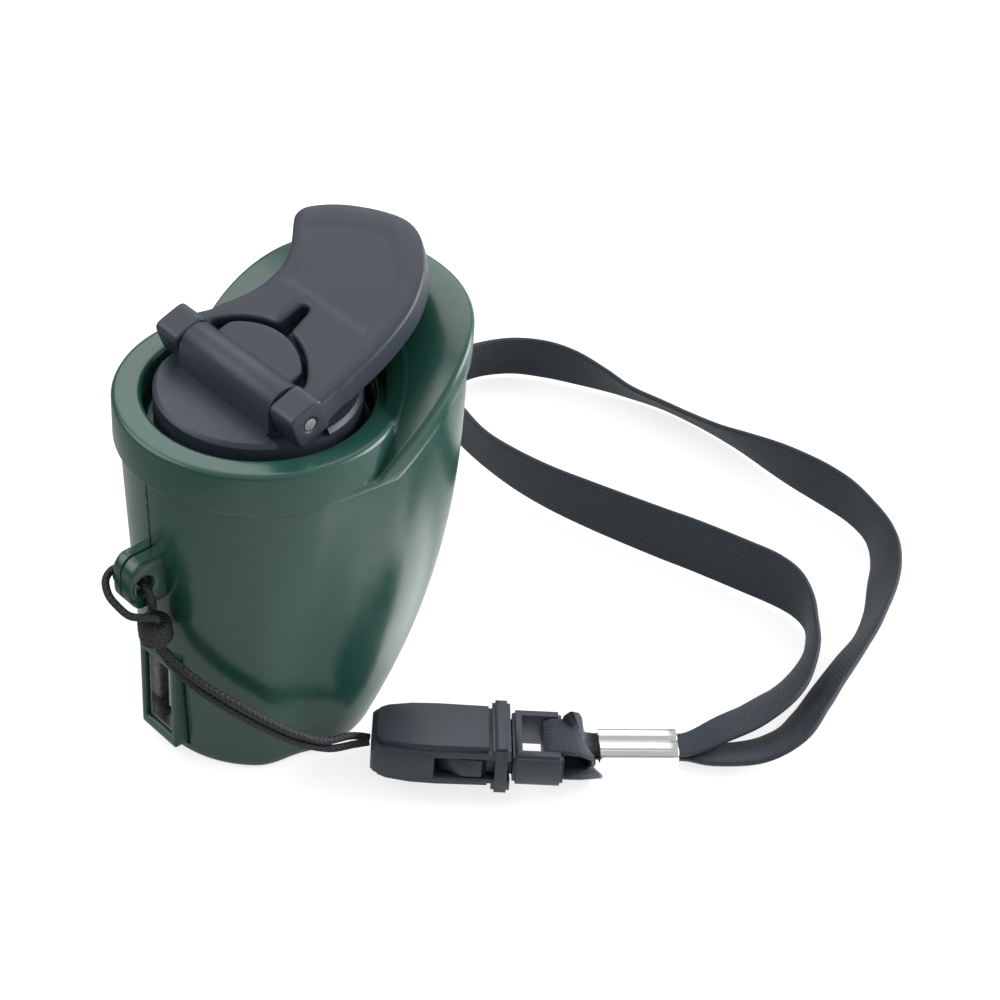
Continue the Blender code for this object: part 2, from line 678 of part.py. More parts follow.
def build_hub_fittings(axis):
    """The flanged bush in the well's floor and the screw that holds the crank gear on."""
    floor_top = RING_HEIGHT - WELL_DEPTH
    inner = HUB_SHAFT_RADIUS + PIN_GAP
    low = CRANK_GEAR_BOTTOM + CRANK_GEAR_WIDTH + TOUCH_GAP
    flange = floor_top + PIN_GAP
    bush = turned([(inner, low), (BUSH_RADIUS, low), (BUSH_RADIUS, flange),
                   (BUSH_FLANGE_RADIUS, flange), (BUSH_FLANGE_RADIUS, flange + BUSH_FLANGE),
                   (inner, flange + BUSH_FLANGE)], sides=16)
    add("hub_bush", bush, (BRASS, 0.35, 1.0))
    head = SHAFT_END - TOUCH_GAP
    screw = turned([(0, head - HUB_SCREW_HEAD), (HUB_SCREW_HEAD_RADIUS, head - HUB_SCREW_HEAD),
                    (HUB_SCREW_HEAD_RADIUS, head), (HUB_SCREW_RADIUS, head),
                    (HUB_SCREW_RADIUS, head + HUB_SCREW_REACH), (0, head + HUB_SCREW_REACH)],
                   sides=14)
    add("hub_screw", screw, (STEEL, 0.3, 1.0), axis)


# The handle's outline, left and right seen from the hinge, as shares of its length
HANDLE_OUTLINE_SHARES = (
    (0.000, -0.465), (0.090, -0.465), (0.194, -0.412), (0.294, -0.385), (0.412, -0.382),
    (0.560, -0.365), (0.694, -0.324), (0.824, -0.235), (0.900, -0.147), (0.962, -0.060),
    (1.000, 0.020), (0.994, 0.080), (0.950, 0.190), (0.880, 0.325), (0.800, 0.450),
    (0.760, 0.478), (0.728, 0.462), (0.632, 0.368), (0.544, 0.306), (0.470, 0.284),
    (0.353, 0.284), (0.235, 0.324), (0.132, 0.385), (0.090, 0.465), (0.000, 0.465),
)
HANDLE_DISH_SHARES = (
    (0.440, -0.335), (0.560, -0.322), (0.682, -0.282), (0.794, -0.205), (0.865, -0.120),
    (0.925, -0.030), (0.950, 0.045), (0.905, 0.180), (0.835, 0.305), (0.765, 0.410),
    (0.735, 0.415), (0.650, 0.325), (0.555, 0.255), (0.440, 0.235),
)
HANDLE_TOP = 1.6 * MM
HANDLE_BOTTOM = 2.6 * MM
HANDLE_DISH = 0.5 * MM
HANDLE_WEB = 1.2 * MM
HANDLE_CUTOUT_CLEAR = 1.3 * MM
HANDLE_CUTOUT_RADIUS = BOSS_RADIUS + HANDLE_CUTOUT_CLEAR
HANDLE_SLOT_WIDTH = 3.0 * MM
HANDLE_SLOT_END = 18.0 * MM
HANDLE_SLOT_SIDE = 0.6 * MM
KNOB_BOSS_RADIUS = 3.2 * MM
KNOB_BOSS_DROP = 1.4 * MM
RIVET_RADIUS = 1.0 * MM
RIVET_HEAD_RADIUS = 2.4 * MM
RIVET_HEAD = 0.9 * MM


def build_handle(axis):
    """The folding handle: fork knuckles, legs round the boss and a dished, skirted paddle."""
    outline = [(u * HANDLE_LENGTH, v * HANDLE_LENGTH) for u, v in HANDLE_OUTLINE_SHARES]
    dish = [(u * HANDLE_LENGTH, v * HANDLE_LENGTH) for u, v in HANDLE_DISH_SHARES]
    plate = prism(outline, -HANDLE_BOTTOM, HANDLE_TOP)
    flat = KNUCKLE_HALF - KNUCKLE_CORNER
    corners = []
    for k, (x, z) in enumerate(((flat, flat), (-flat, flat), (-flat, -flat), (flat, -flat))):
        start = k * math.pi / 2
        corners += arc(KNUCKLE_CORNER, start, start + math.pi / 2, 3, centre=(x, z))
    knuckles = [prism_along_y(corners, side * KNUCKLE_INNER, side * KNUCKLE_OUTER)
                for side in (-1, 1)]
    web_under = HANDLE_TOP - HANDLE_DISH - HANDLE_WEB
    centre = HINGE_BACK / math.cos(HANDLE_PITCH)
    slot_reach = HANDLE_SLOT_END - HANDLE_SLOT_WIDTH / 2
    slot = [(centre, HANDLE_SLOT_SIDE - HANDLE_SLOT_WIDTH / 2)]
    slot += arc(HANDLE_SLOT_WIDTH / 2, -math.pi / 2, math.pi / 2, 7,
                centre=(slot_reach, HANDLE_SLOT_SIDE))
    slot += [(centre, HANDLE_SLOT_SIDE + HANDLE_SLOT_WIDTH / 2)]
    tools = [
        prism(dish, HANDLE_TOP - HANDLE_DISH, LONG),
        prism(dish, -LONG, web_under),
        cylinder(HANDLE_CUTOUT_RADIUS, -LONG, LONG, centre=(centre, 0), sides=32),
        box((-LONG, -KNUCKLE_INNER, -LONG),
            (BARREL_RADIUS + 2 * TOUCH_GAP, KNUCKLE_INNER, LONG)),
        prism(slot, -LONG, LONG),
    ]
    handle = cut(plate, *tools)
    boss = cylinder(KNOB_BOSS_RADIUS, -KNOB_BOSS_DROP, web_under + TOUCH_GAP,
                    centre=(KNOB_OUT, KNOB_SIDE), sides=16)
    handle = join(handle, *knuckles, boss)
    bores = [
        cylinder(HINGE_PIN_RADIUS + PIN_GAP, -LONG, LONG, centre=(0, 0), sides=16, axis="Y"),
        cylinder(RIVET_RADIUS + PIN_GAP, -LONG, web_under + TOUCH_GAP,
                 centre=(KNOB_OUT, KNOB_SIDE), sides=12),
    ]
    add("crank_handle", cut(handle, *bores), (DARK, 0.35), axis)
    pin = cylinder(HINGE_PIN_RADIUS, -KNUCKLE_OUTER + PIN_GAP, KNUCKLE_OUTER - PIN_GAP,
                   sides=16, axis="Y")
    add("hinge_pin", pin, (STEEL, 0.3, 1.0), axis)


def build_knob(handle_axis, knob_axis):
    """The spinning grip knob under the handle's tip and the rivet that it turns on."""
    top = -KNOB_BOSS_DROP - TOUCH_GAP
    low = top - KNOB_LENGTH
    bore = RIVET_RADIUS + PIN_GAP
    seat = low + RIVET_HEAD + TOUCH_GAP
    edge = KNOB_RADIUS / 8
    waist = KNOB_RADIUS - edge
    pocket = RIVET_HEAD_RADIUS + TOUCH_GAP
    profile = [(bore, top), (waist, top), (KNOB_RADIUS, top - edge),
               (waist, (top + low) / 2), (KNOB_RADIUS, low + edge), (waist, low),
               (pocket, low), (pocket, seat), (bore, seat)]
    add("grip_knob", turned(profile, sides=20), (DARK, 0.35), knob_axis)
    shank_top = HANDLE_TOP - HANDLE_DISH - HANDLE_WEB
    head = seat - TOUCH_GAP
    rivet = turned([(0, head - RIVET_HEAD), (RIVET_HEAD_RADIUS, head - RIVET_HEAD),
                    (RIVET_HEAD_RADIUS, head), (RIVET_RADIUS, head), (RIVET_RADIUS, shank_top),
                    (0, shank_top)], centre=(KNOB_OUT, KNOB_SIDE), sides=14)
    add("knob_rivet", rivet, (STEEL, 0.3, 1.0), handle_axis)


PRESSURE_ANGLE = math.radians(25)
ADDENDUM_SHARE = 0.8
DEDENDUM_SHARE = 1.15
GEAR_BACKLASH = 0.12 * MM
FINE_TEETH = 24


def gear_outline(teeth, first, centre=(0, 0)):
    """Involute gear teeth with root, pitch and tip points; the large gears' flanks are straight."""
    pitch = GEAR_MODULE * teeth / 2
    base = pitch * math.cos(PRESSURE_ANGLE)
    tip = pitch + ADDENDUM_SHARE * GEAR_MODULE
    root = pitch - DEDENDUM_SHARE * GEAR_MODULE
    half = math.pi / (2 * teeth) - GEAR_BACKLASH / (2 * pitch)

    def half_turn(radius):
        angle = math.acos(min(base / radius, 1))
        spread = math.tan(angle) - angle
        return half + math.tan(PRESSURE_ANGLE) - PRESSURE_ANGLE - spread

    flank = (root, pitch, tip) if teeth < FINE_TEETH else (root, tip)
    points = []
    for k in range(teeth):
        middle = first + 2 * math.pi * k / teeth
        for side, radii in ((-1, flank), (1, flank[::-1])):
            for radius in radii:
                turn = middle + side * half_turn(max(radius, base))
                points.append((centre[0] + radius * math.cos(turn),
                               centre[1] + radius * math.sin(turn)))
    return points


def gear(teeth, low, high, bore, first=0.0, centre=(0, 0)):
    blank = prism(gear_outline(teeth, first, centre), low, high)
    return cut(blank, cylinder(bore, low - LONG, high + LONG, centre=centre, sides=16))


IDLER_X = GEAR_MODULE * (CRANK_TEETH + IDLER_SMALL_TEETH) / 2
GENERATOR_X = IDLER_X - GEAR_MODULE * (IDLER_LARGE_TEETH + GENERATOR_TEETH) / 2
AXLE_RADIUS = 1.2 * MM
PINION_TOP = IDLER_LARGE_BOTTOM + CRANK_GEAR_WIDTH


def build_gears(crank_axis, idler_axis, rotor_axis):
    """The crank gear, the stepped idler gear with its axle, and the generator's pinion."""
    top = CRANK_GEAR_BOTTOM + CRANK_GEAR_WIDTH
    drive = gear(CRANK_TEETH, CRANK_GEAR_BOTTOM, top, HUB_SHAFT_RADIUS + PIN_GAP)
    add("drive_gear", drive, (WHITE, 0.45), crank_axis)
    small = prism(gear_outline(IDLER_SMALL_TEETH, math.pi / IDLER_SMALL_TEETH),
                  IDLER_LARGE_BOTTOM + TOUCH_GAP, top)
    wheel_top = IDLER_LARGE_BOTTOM + CRANK_GEAR_WIDTH
    large = prism(gear_outline(IDLER_LARGE_TEETH, 0.0), IDLER_LARGE_BOTTOM, wheel_top)
    idler = cut(join(large, small), cylinder(AXLE_RADIUS + PIN_GAP, -LONG, LONG + top, sides=16))
    add("idler_gear", idler, (WHITE, 0.45), idler_axis)
    floor_under = RING_HEIGHT - WELL_DEPTH - WELL_FLOOR
    axle = cylinder(AXLE_RADIUS, PLATE_BOTTOM, floor_under - TOUCH_GAP, centre=(IDLER_X, 0),
                    sides=16)
    add("idler_axle", axle, (STEEL, 0.3, 1.0))
    pinion = gear(GENERATOR_TEETH, PLATE_BOTTOM + PLATE_THICKNESS + TOUCH_GAP, PINION_TOP,
                  ROTOR_SHAFT_RADIUS + PIN_GAP, math.pi / GENERATOR_TEETH)
    add("generator_pinion", pinion, (BRASS, 0.35, 1.0), rotor_axis)


COLLAR_RADIUS = 2.5 * MM
CAN_WALL = 0.8 * MM
END_CAP = 1.5 * MM
MAGNET_INNER = 7.2 * MM
CORE_RADIUS = 6.8 * MM
CORE_SLOTS = 5


def build_plate():
    """The gear plate on the shells' ledge, with holes for the generator, axle and screws."""
    top = PLATE_BOTTOM + PLATE_THICKNESS
    outline = []
    for k in range(COLUMNS):
        turn = 2 * math.pi * k / COLUMNS
        radius = body_radius(turn, PLATE_BOTTOM) - SHELL_WALL - TOUCH_GAP
        outline.append((radius * math.cos(turn), radius * math.sin(turn)))
    plate = prism(outline, PLATE_BOTTOM, top)
    holes = [cylinder(COLLAR_RADIUS + PIN_GAP, -LONG, LONG, centre=(GENERATOR_X, 0)),
             cylinder(AXLE_RADIUS + PIN_GAP, -LONG, LONG, centre=(IDLER_X, 0), sides=16)]
    seats = [(x, side * y) for x, y in PLATE_POSTS for side in (-1, 1)]
    for place in seats:
        holes.append(cylinder(SCREW_RADIUS + PIN_GAP, -LONG, LONG, centre=place, sides=10))
    add("gear_plate", cut(plate, *holes), (STEEL, 0.4, 1.0))
    for n, place in enumerate(seats, 1):
        screw = turned(screw_profile(top + PIN_GAP, PLATE_THICKNESS + PLATE_SCREW_REACH), place,
                       sides=10)
        add(f"plate_screw_{n}", screw, (STEEL, 0.3, 1.0))


def screw_profile(seat, reach):
    """A pan head screw pointing down from its seat."""
    return [(0, seat - reach), (SCREW_RADIUS, seat - reach), (SCREW_RADIUS, seat),
            (SCREW_HEAD_RADIUS, seat), (SCREW_HEAD_RADIUS, seat + SCREW_HEAD_HEIGHT / 2),
            (SCREW_HEAD_RADIUS - SCREW_HEAD_HEIGHT / 2, seat + SCREW_HEAD_HEIGHT),
            (0, seat + SCREW_HEAD_HEIGHT)]


def build_shell_screws():
    """The screws that draw the shells together from the +Y side."""
    reach = SHELL_SCREW_SEAT + SHELL_SCREW_REACH
    for n, (x, z, run) in enumerate(SHELL_SCREWS, 1):
        screw = turned(screw_profile(SHELL_SCREW_SEAT + PIN_GAP, reach), sides=10)
        bmesh.ops.rotate(screw, matrix=Matrix.Rotation(-math.pi / 2, 3, "X"), verts=screw.verts)
        bmesh.ops.translate(screw, vec=(x, 0, z), verts=screw.verts)
        add(f"shell_screw_{n}", screw, (STEEL, 0.3, 1.0))


def build_generator(rotor_axis):
    """The generator under the plate: can, magnet ring, slotted rotor core, shaft and end cap."""
    top = PLATE_BOTTOM - TOUCH_GAP
    low = top - CAN_HEIGHT
    middle = (GENERATOR_X, 0)
    hole = ROTOR_SHAFT_RADIUS + PIN_GAP
    inner = CAN_RADIUS - CAN_WALL
    collar = PLATE_BOTTOM + PLATE_THICKNESS / 2
    can = turned([(CAN_RADIUS, low), (CAN_RADIUS, top), (COLLAR_RADIUS, top),
                  (COLLAR_RADIUS, collar), (hole, collar), (hole, top - CAN_WALL),
                  (inner, top - CAN_WALL), (inner, low)], middle, sides=20)
    add("generator_can", can, (STEEL, 0.3, 1.0))
    cap_top = low + END_CAP
    cap = turned([(hole, low), (inner - PIN_GAP, low), (inner - PIN_GAP, cap_top),
                  (hole, cap_top)], middle, sides=20)
    add("generator_end_cap", cap, (DARK, 0.5))
    ring_low = cap_top + TOUCH_GAP
    ring_high = top - CAN_WALL - TOUCH_GAP
    magnets = turned([(MAGNET_INNER, ring_low), (inner - PIN_GAP, ring_low),
                      (inner - PIN_GAP, ring_high), (MAGNET_INNER, ring_high)], middle, sides=20)
    add("magnet_ring", magnets, ((0.06, 0.06, 0.07), 0.6))
    core_low = ring_low + CAN_WALL
    core_high = ring_high - CAN_WALL
    core = cylinder(CORE_RADIUS, core_low, core_high, sides=30)
    slots = [cylinder(hole, low - LONG, top + LONG, sides=12)]
    for k in range(CORE_SLOTS):
        slot = box((CORE_RADIUS / 2, -CORE_RADIUS / 10, low - LONG),
                   (LONG, CORE_RADIUS / 10, top + LONG))
        bmesh.ops.rotate(slot, matrix=Matrix.Rotation(2 * math.pi * k / CORE_SLOTS, 3, "Z"),
                         verts=slot.verts)
        slots.append(slot)
    add("rotor_core", cut(core, *slots), ((0.45, 0.20, 0.09), 0.4, 1.0), rotor_axis)
    shaft = cylinder(ROTOR_SHAFT_RADIUS, low + TOUCH_GAP, PINION_TOP, sides=12)
    add("generator_shaft", shaft, (STEEL, 0.25, 1.0), rotor_axis)


def smooth_route(points, spacing):
    """Points at an even spacing along a smooth curve through a route's own points."""
    ends = [2 * points[0] - points[1]] + points + [2 * points[-1] - points[-2]]
    fine = []
    steps = 12
    for n in range(1, len(ends) - 2):
        a, b, c, d = ends[n - 1], ends[n], ends[n + 1], ends[n + 2]
        for k in range(steps):
            t = k / steps
            fine.append(0.5 * (2 * b + (c - a) * t + (2 * a - 5 * b + 4 * c - d) * t * t
                               + (3 * b - a - 3 * c + d) * t * t * t))
    fine.append(points[-1])
    lengths = [0.0]
    for one, two in zip(fine, fine[1:]):
        lengths.append(lengths[-1] + (two - one).length)
    count = max(round(lengths[-1] / spacing), 2)
    kept = []
    for k in range(count + 1):
        want = lengths[-1] * k / count
        n = max(i for i, done in enumerate(lengths) if done <= want + 1e-12)
        n = min(n, len(fine) - 2)
        share = (want - lengths[n]) / (lengths[n + 1] - lengths[n])
        kept.append(fine[n].lerp(fine[n + 1], share))
    return kept


def tube(name, points, diameter, look, spacing_share=2.0):
    """A round cord or wire along a route, as a beveled curve with filled caps."""
    curve = bpy.data.curves.new(name, "CURVE")
    curve.dimensions = "3D"
    curve.bevel_depth = diameter / 2
    curve.bevel_resolution = 2
    curve.use_fill_caps = True
    route = smooth_route(points, diameter * spacing_share)
    spline = curve.splines.new("POLY")
    spline.points.add(len(route) - 1)
    for point, place in zip(spline.points, route):
        point.co = (*place, 1)
    made = bpy.data.objects.new(name, curve)
    curve.materials.append(finish(name, *look))
    bpy.context.collection.objects.link(made)
    return made


LEAD_DIAMETER = 1.0 * MM
LEAD_SPREAD = 5.0 * MM
LEAD_BOARD_X = (9.6 * MM, 2.0 * MM)


def build_leads():
    """Two wires from under the generator's end cap to the charging board's face."""
    under = PLATE_BOTTOM - TOUCH_GAP - CAN_HEIGHT - TOUCH_GAP
    face = USB_WIDTH / 2
    for name, side, end_x, color in (("positive_lead", 1, LEAD_BOARD_X[0], (0.5, 0.02, 0.02)),
                                     ("negative_lead", -1, LEAD_BOARD_X[1], DARK)):
        start = Vector((GENERATOR_X + side * LEAD_SPREAD, -CAN_WALL, under))
        drop = Vector((0, 0, -2 * LEAD_DIAMETER))
        low = Vector((end_x, face - 3 * LEAD_DIAMETER, BOARD_TOP - 2 * LEAD_DIAMETER))
        end = Vector((end_x, face, BOARD_TOP - 3 * LEAD_DIAMETER))
        tube(name, [start, start + drop, low, end], LEAD_DIAMETER, (color, 0.5))


# The cord's route in millimetres: socket, along the housing, knot, eye, knot and back
CORD_ROUTE = (
    (1.8, -24.8, 5.8), (-0.4, -23.7, 5.8), (-4.4, -22.6, 6.6), (-8.8, -20.6, 9.0),
    (-12.3, -18.4, 11.8), (-15.3, -15.8, 14.5), (-17.8, -12.8, 16.9), (-19.8, -9.5, 19.1),
    (-21.1, -6.4, 21.4), (-21.9, -4.0, 23.8), (-22.2, -2.9, 25.6), (-22.4, -2.8, 28.0),
    (-22.6, -2.8, 30.2), (-22.9, -3.5, 32.6), (-23.15, -3.7, 34.8), (-23.15, -2.6, 36.0),
    (-23.15, 0.0, 36.0), (-23.15, 2.6, 36.0), (-24.2, 3.9, 35.8), (-26.0, 3.4, 35.0),
    (-27.0, 1.4, 34.0), (-27.0, -0.8, 33.2), (-26.4, -2.9, 32.4), (-24.8, -4.4, 32.2),
    (-23.2, -4.9, 31.6), (-22.6, -4.3, 30.0), (-22.4, -4.2, 28.0), (-22.2, -4.3, 25.6),
    (-21.5, -6.0, 23.6), (-20.2, -9.2, 21.4), (-18.2, -12.3, 19.2), (-15.6, -15.3, 16.9),
    (-12.5, -18.3, 13.9), (-9.1, -20.6, 11.1), (-5.2, -22.3, 8.5), (-1.0, -22.9, 7.3),
    (1.3, -22.8, 5.9), (2.8, -23.8, 5.4),
)
KNOT_CENTRE = Vector((-22.4 * MM, -3.55 * MM, 28.0 * MM))
KNOT_AXIS = Vector((-0.09, 0.0, 1.0))
KNOT_HOLE = 1.75 * MM
KNOT_RADIUS = 2.6 * MM
KNOT_HEIGHT = 4.4 * MM


def build_cord():
    """The lanyard's thin cord, looped through the eye and drawn together by its knot."""
    route = [Vector(p) * MM for p in CORD_ROUTE]
    tube("lanyard_cord", route, CORD_DIAMETER, (DARK, 0.7))
    bulge = KNOT_HEIGHT / 4
    profile = [(KNOT_HOLE, -2 * bulge), (KNOT_RADIUS - bulge / 3, -2 * bulge),
               (KNOT_RADIUS, -bulge), (KNOT_RADIUS - bulge / 2, 0), (KNOT_RADIUS, bulge),
               (KNOT_RADIUS - bulge / 3, 2 * bulge), (KNOT_HOLE, 2 * bulge)]
    knot = turned(profile, sides=14)
    lean = UP.rotation_difference(KNOT_AXIS).to_matrix()
    bmesh.ops.rotate(knot, matrix=lean, verts=knot.verts)
    bmesh.ops.translate(knot, vec=KNOT_CENTRE, verts=knot.verts)
    add("cord_knot", knot, (DARK, 0.7))


# The buckle's socket outline, length along it and half its width, as shares of each
SOCKET_OUTLINE_SHARES = (
    (-0.500, 0.56), (-0.480, 0.70), (-0.430, 0.84), (-0.300, 0.97), (-0.160, 1.00),
    (0.140, 0.97),
)
FLANGE_START_SHARE = 0.145
FLANGE_END_SHARE = 0.225
FLANGE_PROUD = 0.5 * MM
SOCKET_WALL = 1.3 * MM
SOCKET_EDGE = 0.9 * MM
WINDOW_START_SHARE = -0.17
WINDOW_END_SHARE = 0.12
WINDOW_HALF_HEIGHT = 1.7 * MM
PRONG_WALL = 1.5 * MM
PRONG_THICKNESS = 3.2 * MM
PRONG_FRAME_THICKNESS = 5.2 * MM
BAR_LENGTH = 2.0 * MM
BAR_THICKNESS = 2.6 * MM


def build_buckle(frame, release):
    """The side release buckle: socket with side windows, and the prong with its strap bar."""
    half = BUCKLE_WIDTH / 2
    thick = BUCKLE_THICKNESS / 2
    outline = [(x * BUCKLE_LENGTH, y * half) for x, y in SOCKET_OUTLINE_SHARES]
    outline += [(x, -y) for x, y in reversed(outline)]
    socket = prism(outline, -thick, thick)
    edges = [e for e in socket.edges if abs(e.verts[0].co.z - e.verts[1].co.z) < TOUCH_GAP]
    bmesh.ops.bevel(socket, geom=edges, offset=SOCKET_EDGE, segments=2, affect="EDGES")
    flange = box((FLANGE_START_SHARE * BUCKLE_LENGTH - FLANGE_PROUD, -half - FLANGE_PROUD,
                  -thick - FLANGE_PROUD),
                 (FLANGE_END_SHARE * BUCKLE_LENGTH, half + FLANGE_PROUD, thick + FLANGE_PROUD))
    bmesh.ops.bevel(flange, geom=[e for e in flange.edges], offset=FLANGE_PROUD, segments=2,
                    affect="EDGES")
    mouth = FLANGE_END_SHARE * BUCKLE_LENGTH
    hollow = box((-BUCKLE_LENGTH / 4, -half + SOCKET_WALL, -thick + SOCKET_WALL),
                 (LONG, half - SOCKET_WALL, thick - SOCKET_WALL))
    windows = box((WINDOW_START_SHARE * BUCKLE_LENGTH, -LONG, -WINDOW_HALF_HEIGHT),
                  (WINDOW_END_SHARE * BUCKLE_LENGTH, LONG, WINDOW_HALF_HEIGHT))
    relief = box((0, -half, -WINDOW_HALF_HEIGHT), (LONG, half, WINDOW_HALF_HEIGHT))
    add("buckle_socket", cut(join(socket, flange), hollow, windows, relief), (DARK, 0.45), frame)
    start = mouth + TOUCH_GAP
    end = BUCKLE_LENGTH / 2
    inner = half - SOCKET_WALL - TOUCH_GAP
    lip = PRONG_FRAME_THICKNESS / 2
    body = box((start, -half, -lip), (end, half, lip))
    bmesh.ops.bevel(body, geom=[e for e in body.edges], offset=FLANGE_PROUD, segments=2,
                    affect="EDGES")
    arms = []
    tip = WINDOW_START_SHARE * BUCKLE_LENGTH + 2 * TOUCH_GAP
    hook = WINDOW_END_SHARE * BUCKLE_LENGTH - 2 * TOUCH_GAP
    for side in (-1, 1):
        points = [(start + TOUCH_GAP, side * inner), (hook, side * inner),
                  (hook - PRONG_WALL / 2, side * (half - PIN_GAP)),
                  ((tip + hook) / 2, side * (half - PIN_GAP)),
                  (tip, side * (inner - PRONG_WALL / 2)), (tip, side * (inner - 2 * PRONG_WALL)),
                  ((tip + hook) / 2, side * (inner - PRONG_WALL)),
                  (start + TOUCH_GAP, side * (inner - PRONG_WALL))]
        arms.append(prism(points, -PRONG_THICKNESS / 2 + PIN_GAP, PRONG_THICKNESS / 2 - PIN_GAP))
    guide = box((-BUCKLE_LENGTH / 8, -PRONG_WALL / 2, -PRONG_THICKNESS / 2),
                (start + TOUCH_GAP, PRONG_WALL / 2, PRONG_THICKNESS / 2))
    prong = join(body, guide, *arms)
    slot_half = STRAP_WIDTH / 2 + TOUCH_GAP
    slot = box((start + PRONG_WALL, -slot_half, -LONG), (end - BAR_LENGTH, slot_half, LONG))
    over = box((end - BAR_LENGTH - TOUCH_GAP, -slot_half, BAR_THICKNESS / 2),
               (LONG, slot_half, LONG))
    under = box((end - BAR_LENGTH - TOUCH_GAP, -slot_half, -LONG),
                (LONG, slot_half, -BAR_THICKNESS / 2))
    add("buckle_prong", cut(prong, slot, over, under), (DARK, 0.45), release)


FERRULE_CENTRE = Vector((36.3 * MM, -49.8 * MM, 2.1 * MM))
FERRULE_TURN = math.radians(-40)
FERRULE_WIDTH = 6.8 * MM
FERRULE_THICKNESS = 3.6 * MM
FERRULE_WALL = 0.4 * MM
STRAP_NARROW_SHARE = 0.5

# The strap's two strands from the ferrule to the far end of the loop: the strap's middle in
# millimetres, and how much its upper edge leans along X and Y at each of those places
OUTER_STRAND = (
    (45.0, -58.6, 1.6), (50.2, -62.6, 1.9), (56.0, -64.4, 2.4), (62.4, -63.2, 3.2),
    (69.0, -61.2, 3.6), (77.7, -58.6, 3.8), (85.0, -56.4, 4.0), (91.8, -53.2, 4.0),
    (97.4, -49.4, 4.0), (102.4, -45.0, 4.3), (106.0, -39.8, 4.7), (107.6, -33.6, 5.4),
    (107.8, -27.2, 5.4), (107.2, -20.0, 5.3), (106.7, -12.0, 4.8), (106.1, -4.4, 4.2),
    (105.4, 2.6, 3.9), (104.2, 9.6, 3.9), (102.2, 16.0, 4.1), (100.4, 21.4, 4.6),
    (98.2, 27.2, 5.2), (95.4, 32.6, 5.4), (91.0, 37.6, 5.4), (84.6, 40.6, 5.4),
)
OUTER_LEAN_SHARES = (
    (-0.62, -0.74), (-0.60, -0.72), (-0.54, -0.69), (-0.50, -0.66), (-0.48, -0.64),
    (-0.50, -0.60), (-0.46, -0.55), (-0.38, -0.60), (-0.30, -0.66), (-0.27, -0.60),
    (-0.22, -0.40), (-0.12, -0.08), (-0.10, 0.02), (-0.17, -0.18), (-0.34, -0.42),
    (-0.52, -0.45), (-0.58, -0.47), (-0.58, -0.48), (-0.54, -0.45), (-0.42, -0.32),
    (-0.26, -0.17), (-0.18, -0.12), (-0.20, -0.15), (-0.20, -0.20),
)
FAR_BEND = (
    (78.2, 40.4, 5.4), (73.0, 36.8, 5.4),
)
FAR_LEAN_SHARES = (
    (-0.12, -0.18), (-0.12, -0.16),
)
INNER_STRAND = (
    (48.6, -56.6, 3.4), (54.6, -57.6, 3.6), (60.6, -57.6, 3.9), (66.0, -56.6, 4.1),
    (71.4, -54.4, 4.4), (75.6, -51.6, 4.9), (79.2, -48.0, 5.3), (81.0, -43.6, 5.4),
    (81.0, -38.6, 5.4), (79.6, -33.0, 5.4), (77.1, -24.3, 5.4), (74.9, -18.0, 5.4),
    (72.8, -11.6, 5.4), (70.5, -4.0, 5.4), (68.5, 3.6, 5.4), (67.4, 11.3, 5.4),
    (67.3, 18.7, 5.4), (68.6, 26.3, 5.4), (70.2, 32.0, 5.4),
)
INNER_LEAN_SHARES = (
    (-0.62, -0.76), (-0.60, -0.72), (-0.56, -0.68), (-0.52, -0.62), (-0.46, -0.52),
    (-0.36, -0.34), (-0.20, -0.14), (0.00, 0.02), (0.13, 0.10), (0.15, 0.10), (0.14, 0.12),
    (0.12, 0.08), (0.08, 0.06), (0.00, 0.10), (-0.08, 0.05), (-0.15, 0.06), (-0.20, -0.03),
    (-0.16, -0.16), (-0.14, -0.18),
)


def buckle_matrix():
    """The buckle's pose: its centre, turned about Z and rolled with its near edge up."""
    turn = Matrix.Rotation(BUCKLE_TURN, 4, "Z")
    return Matrix.Translation(BUCKLE_CENTRE) @ turn @ Matrix.Rotation(-BUCKLE_ROLL, 4, "X")


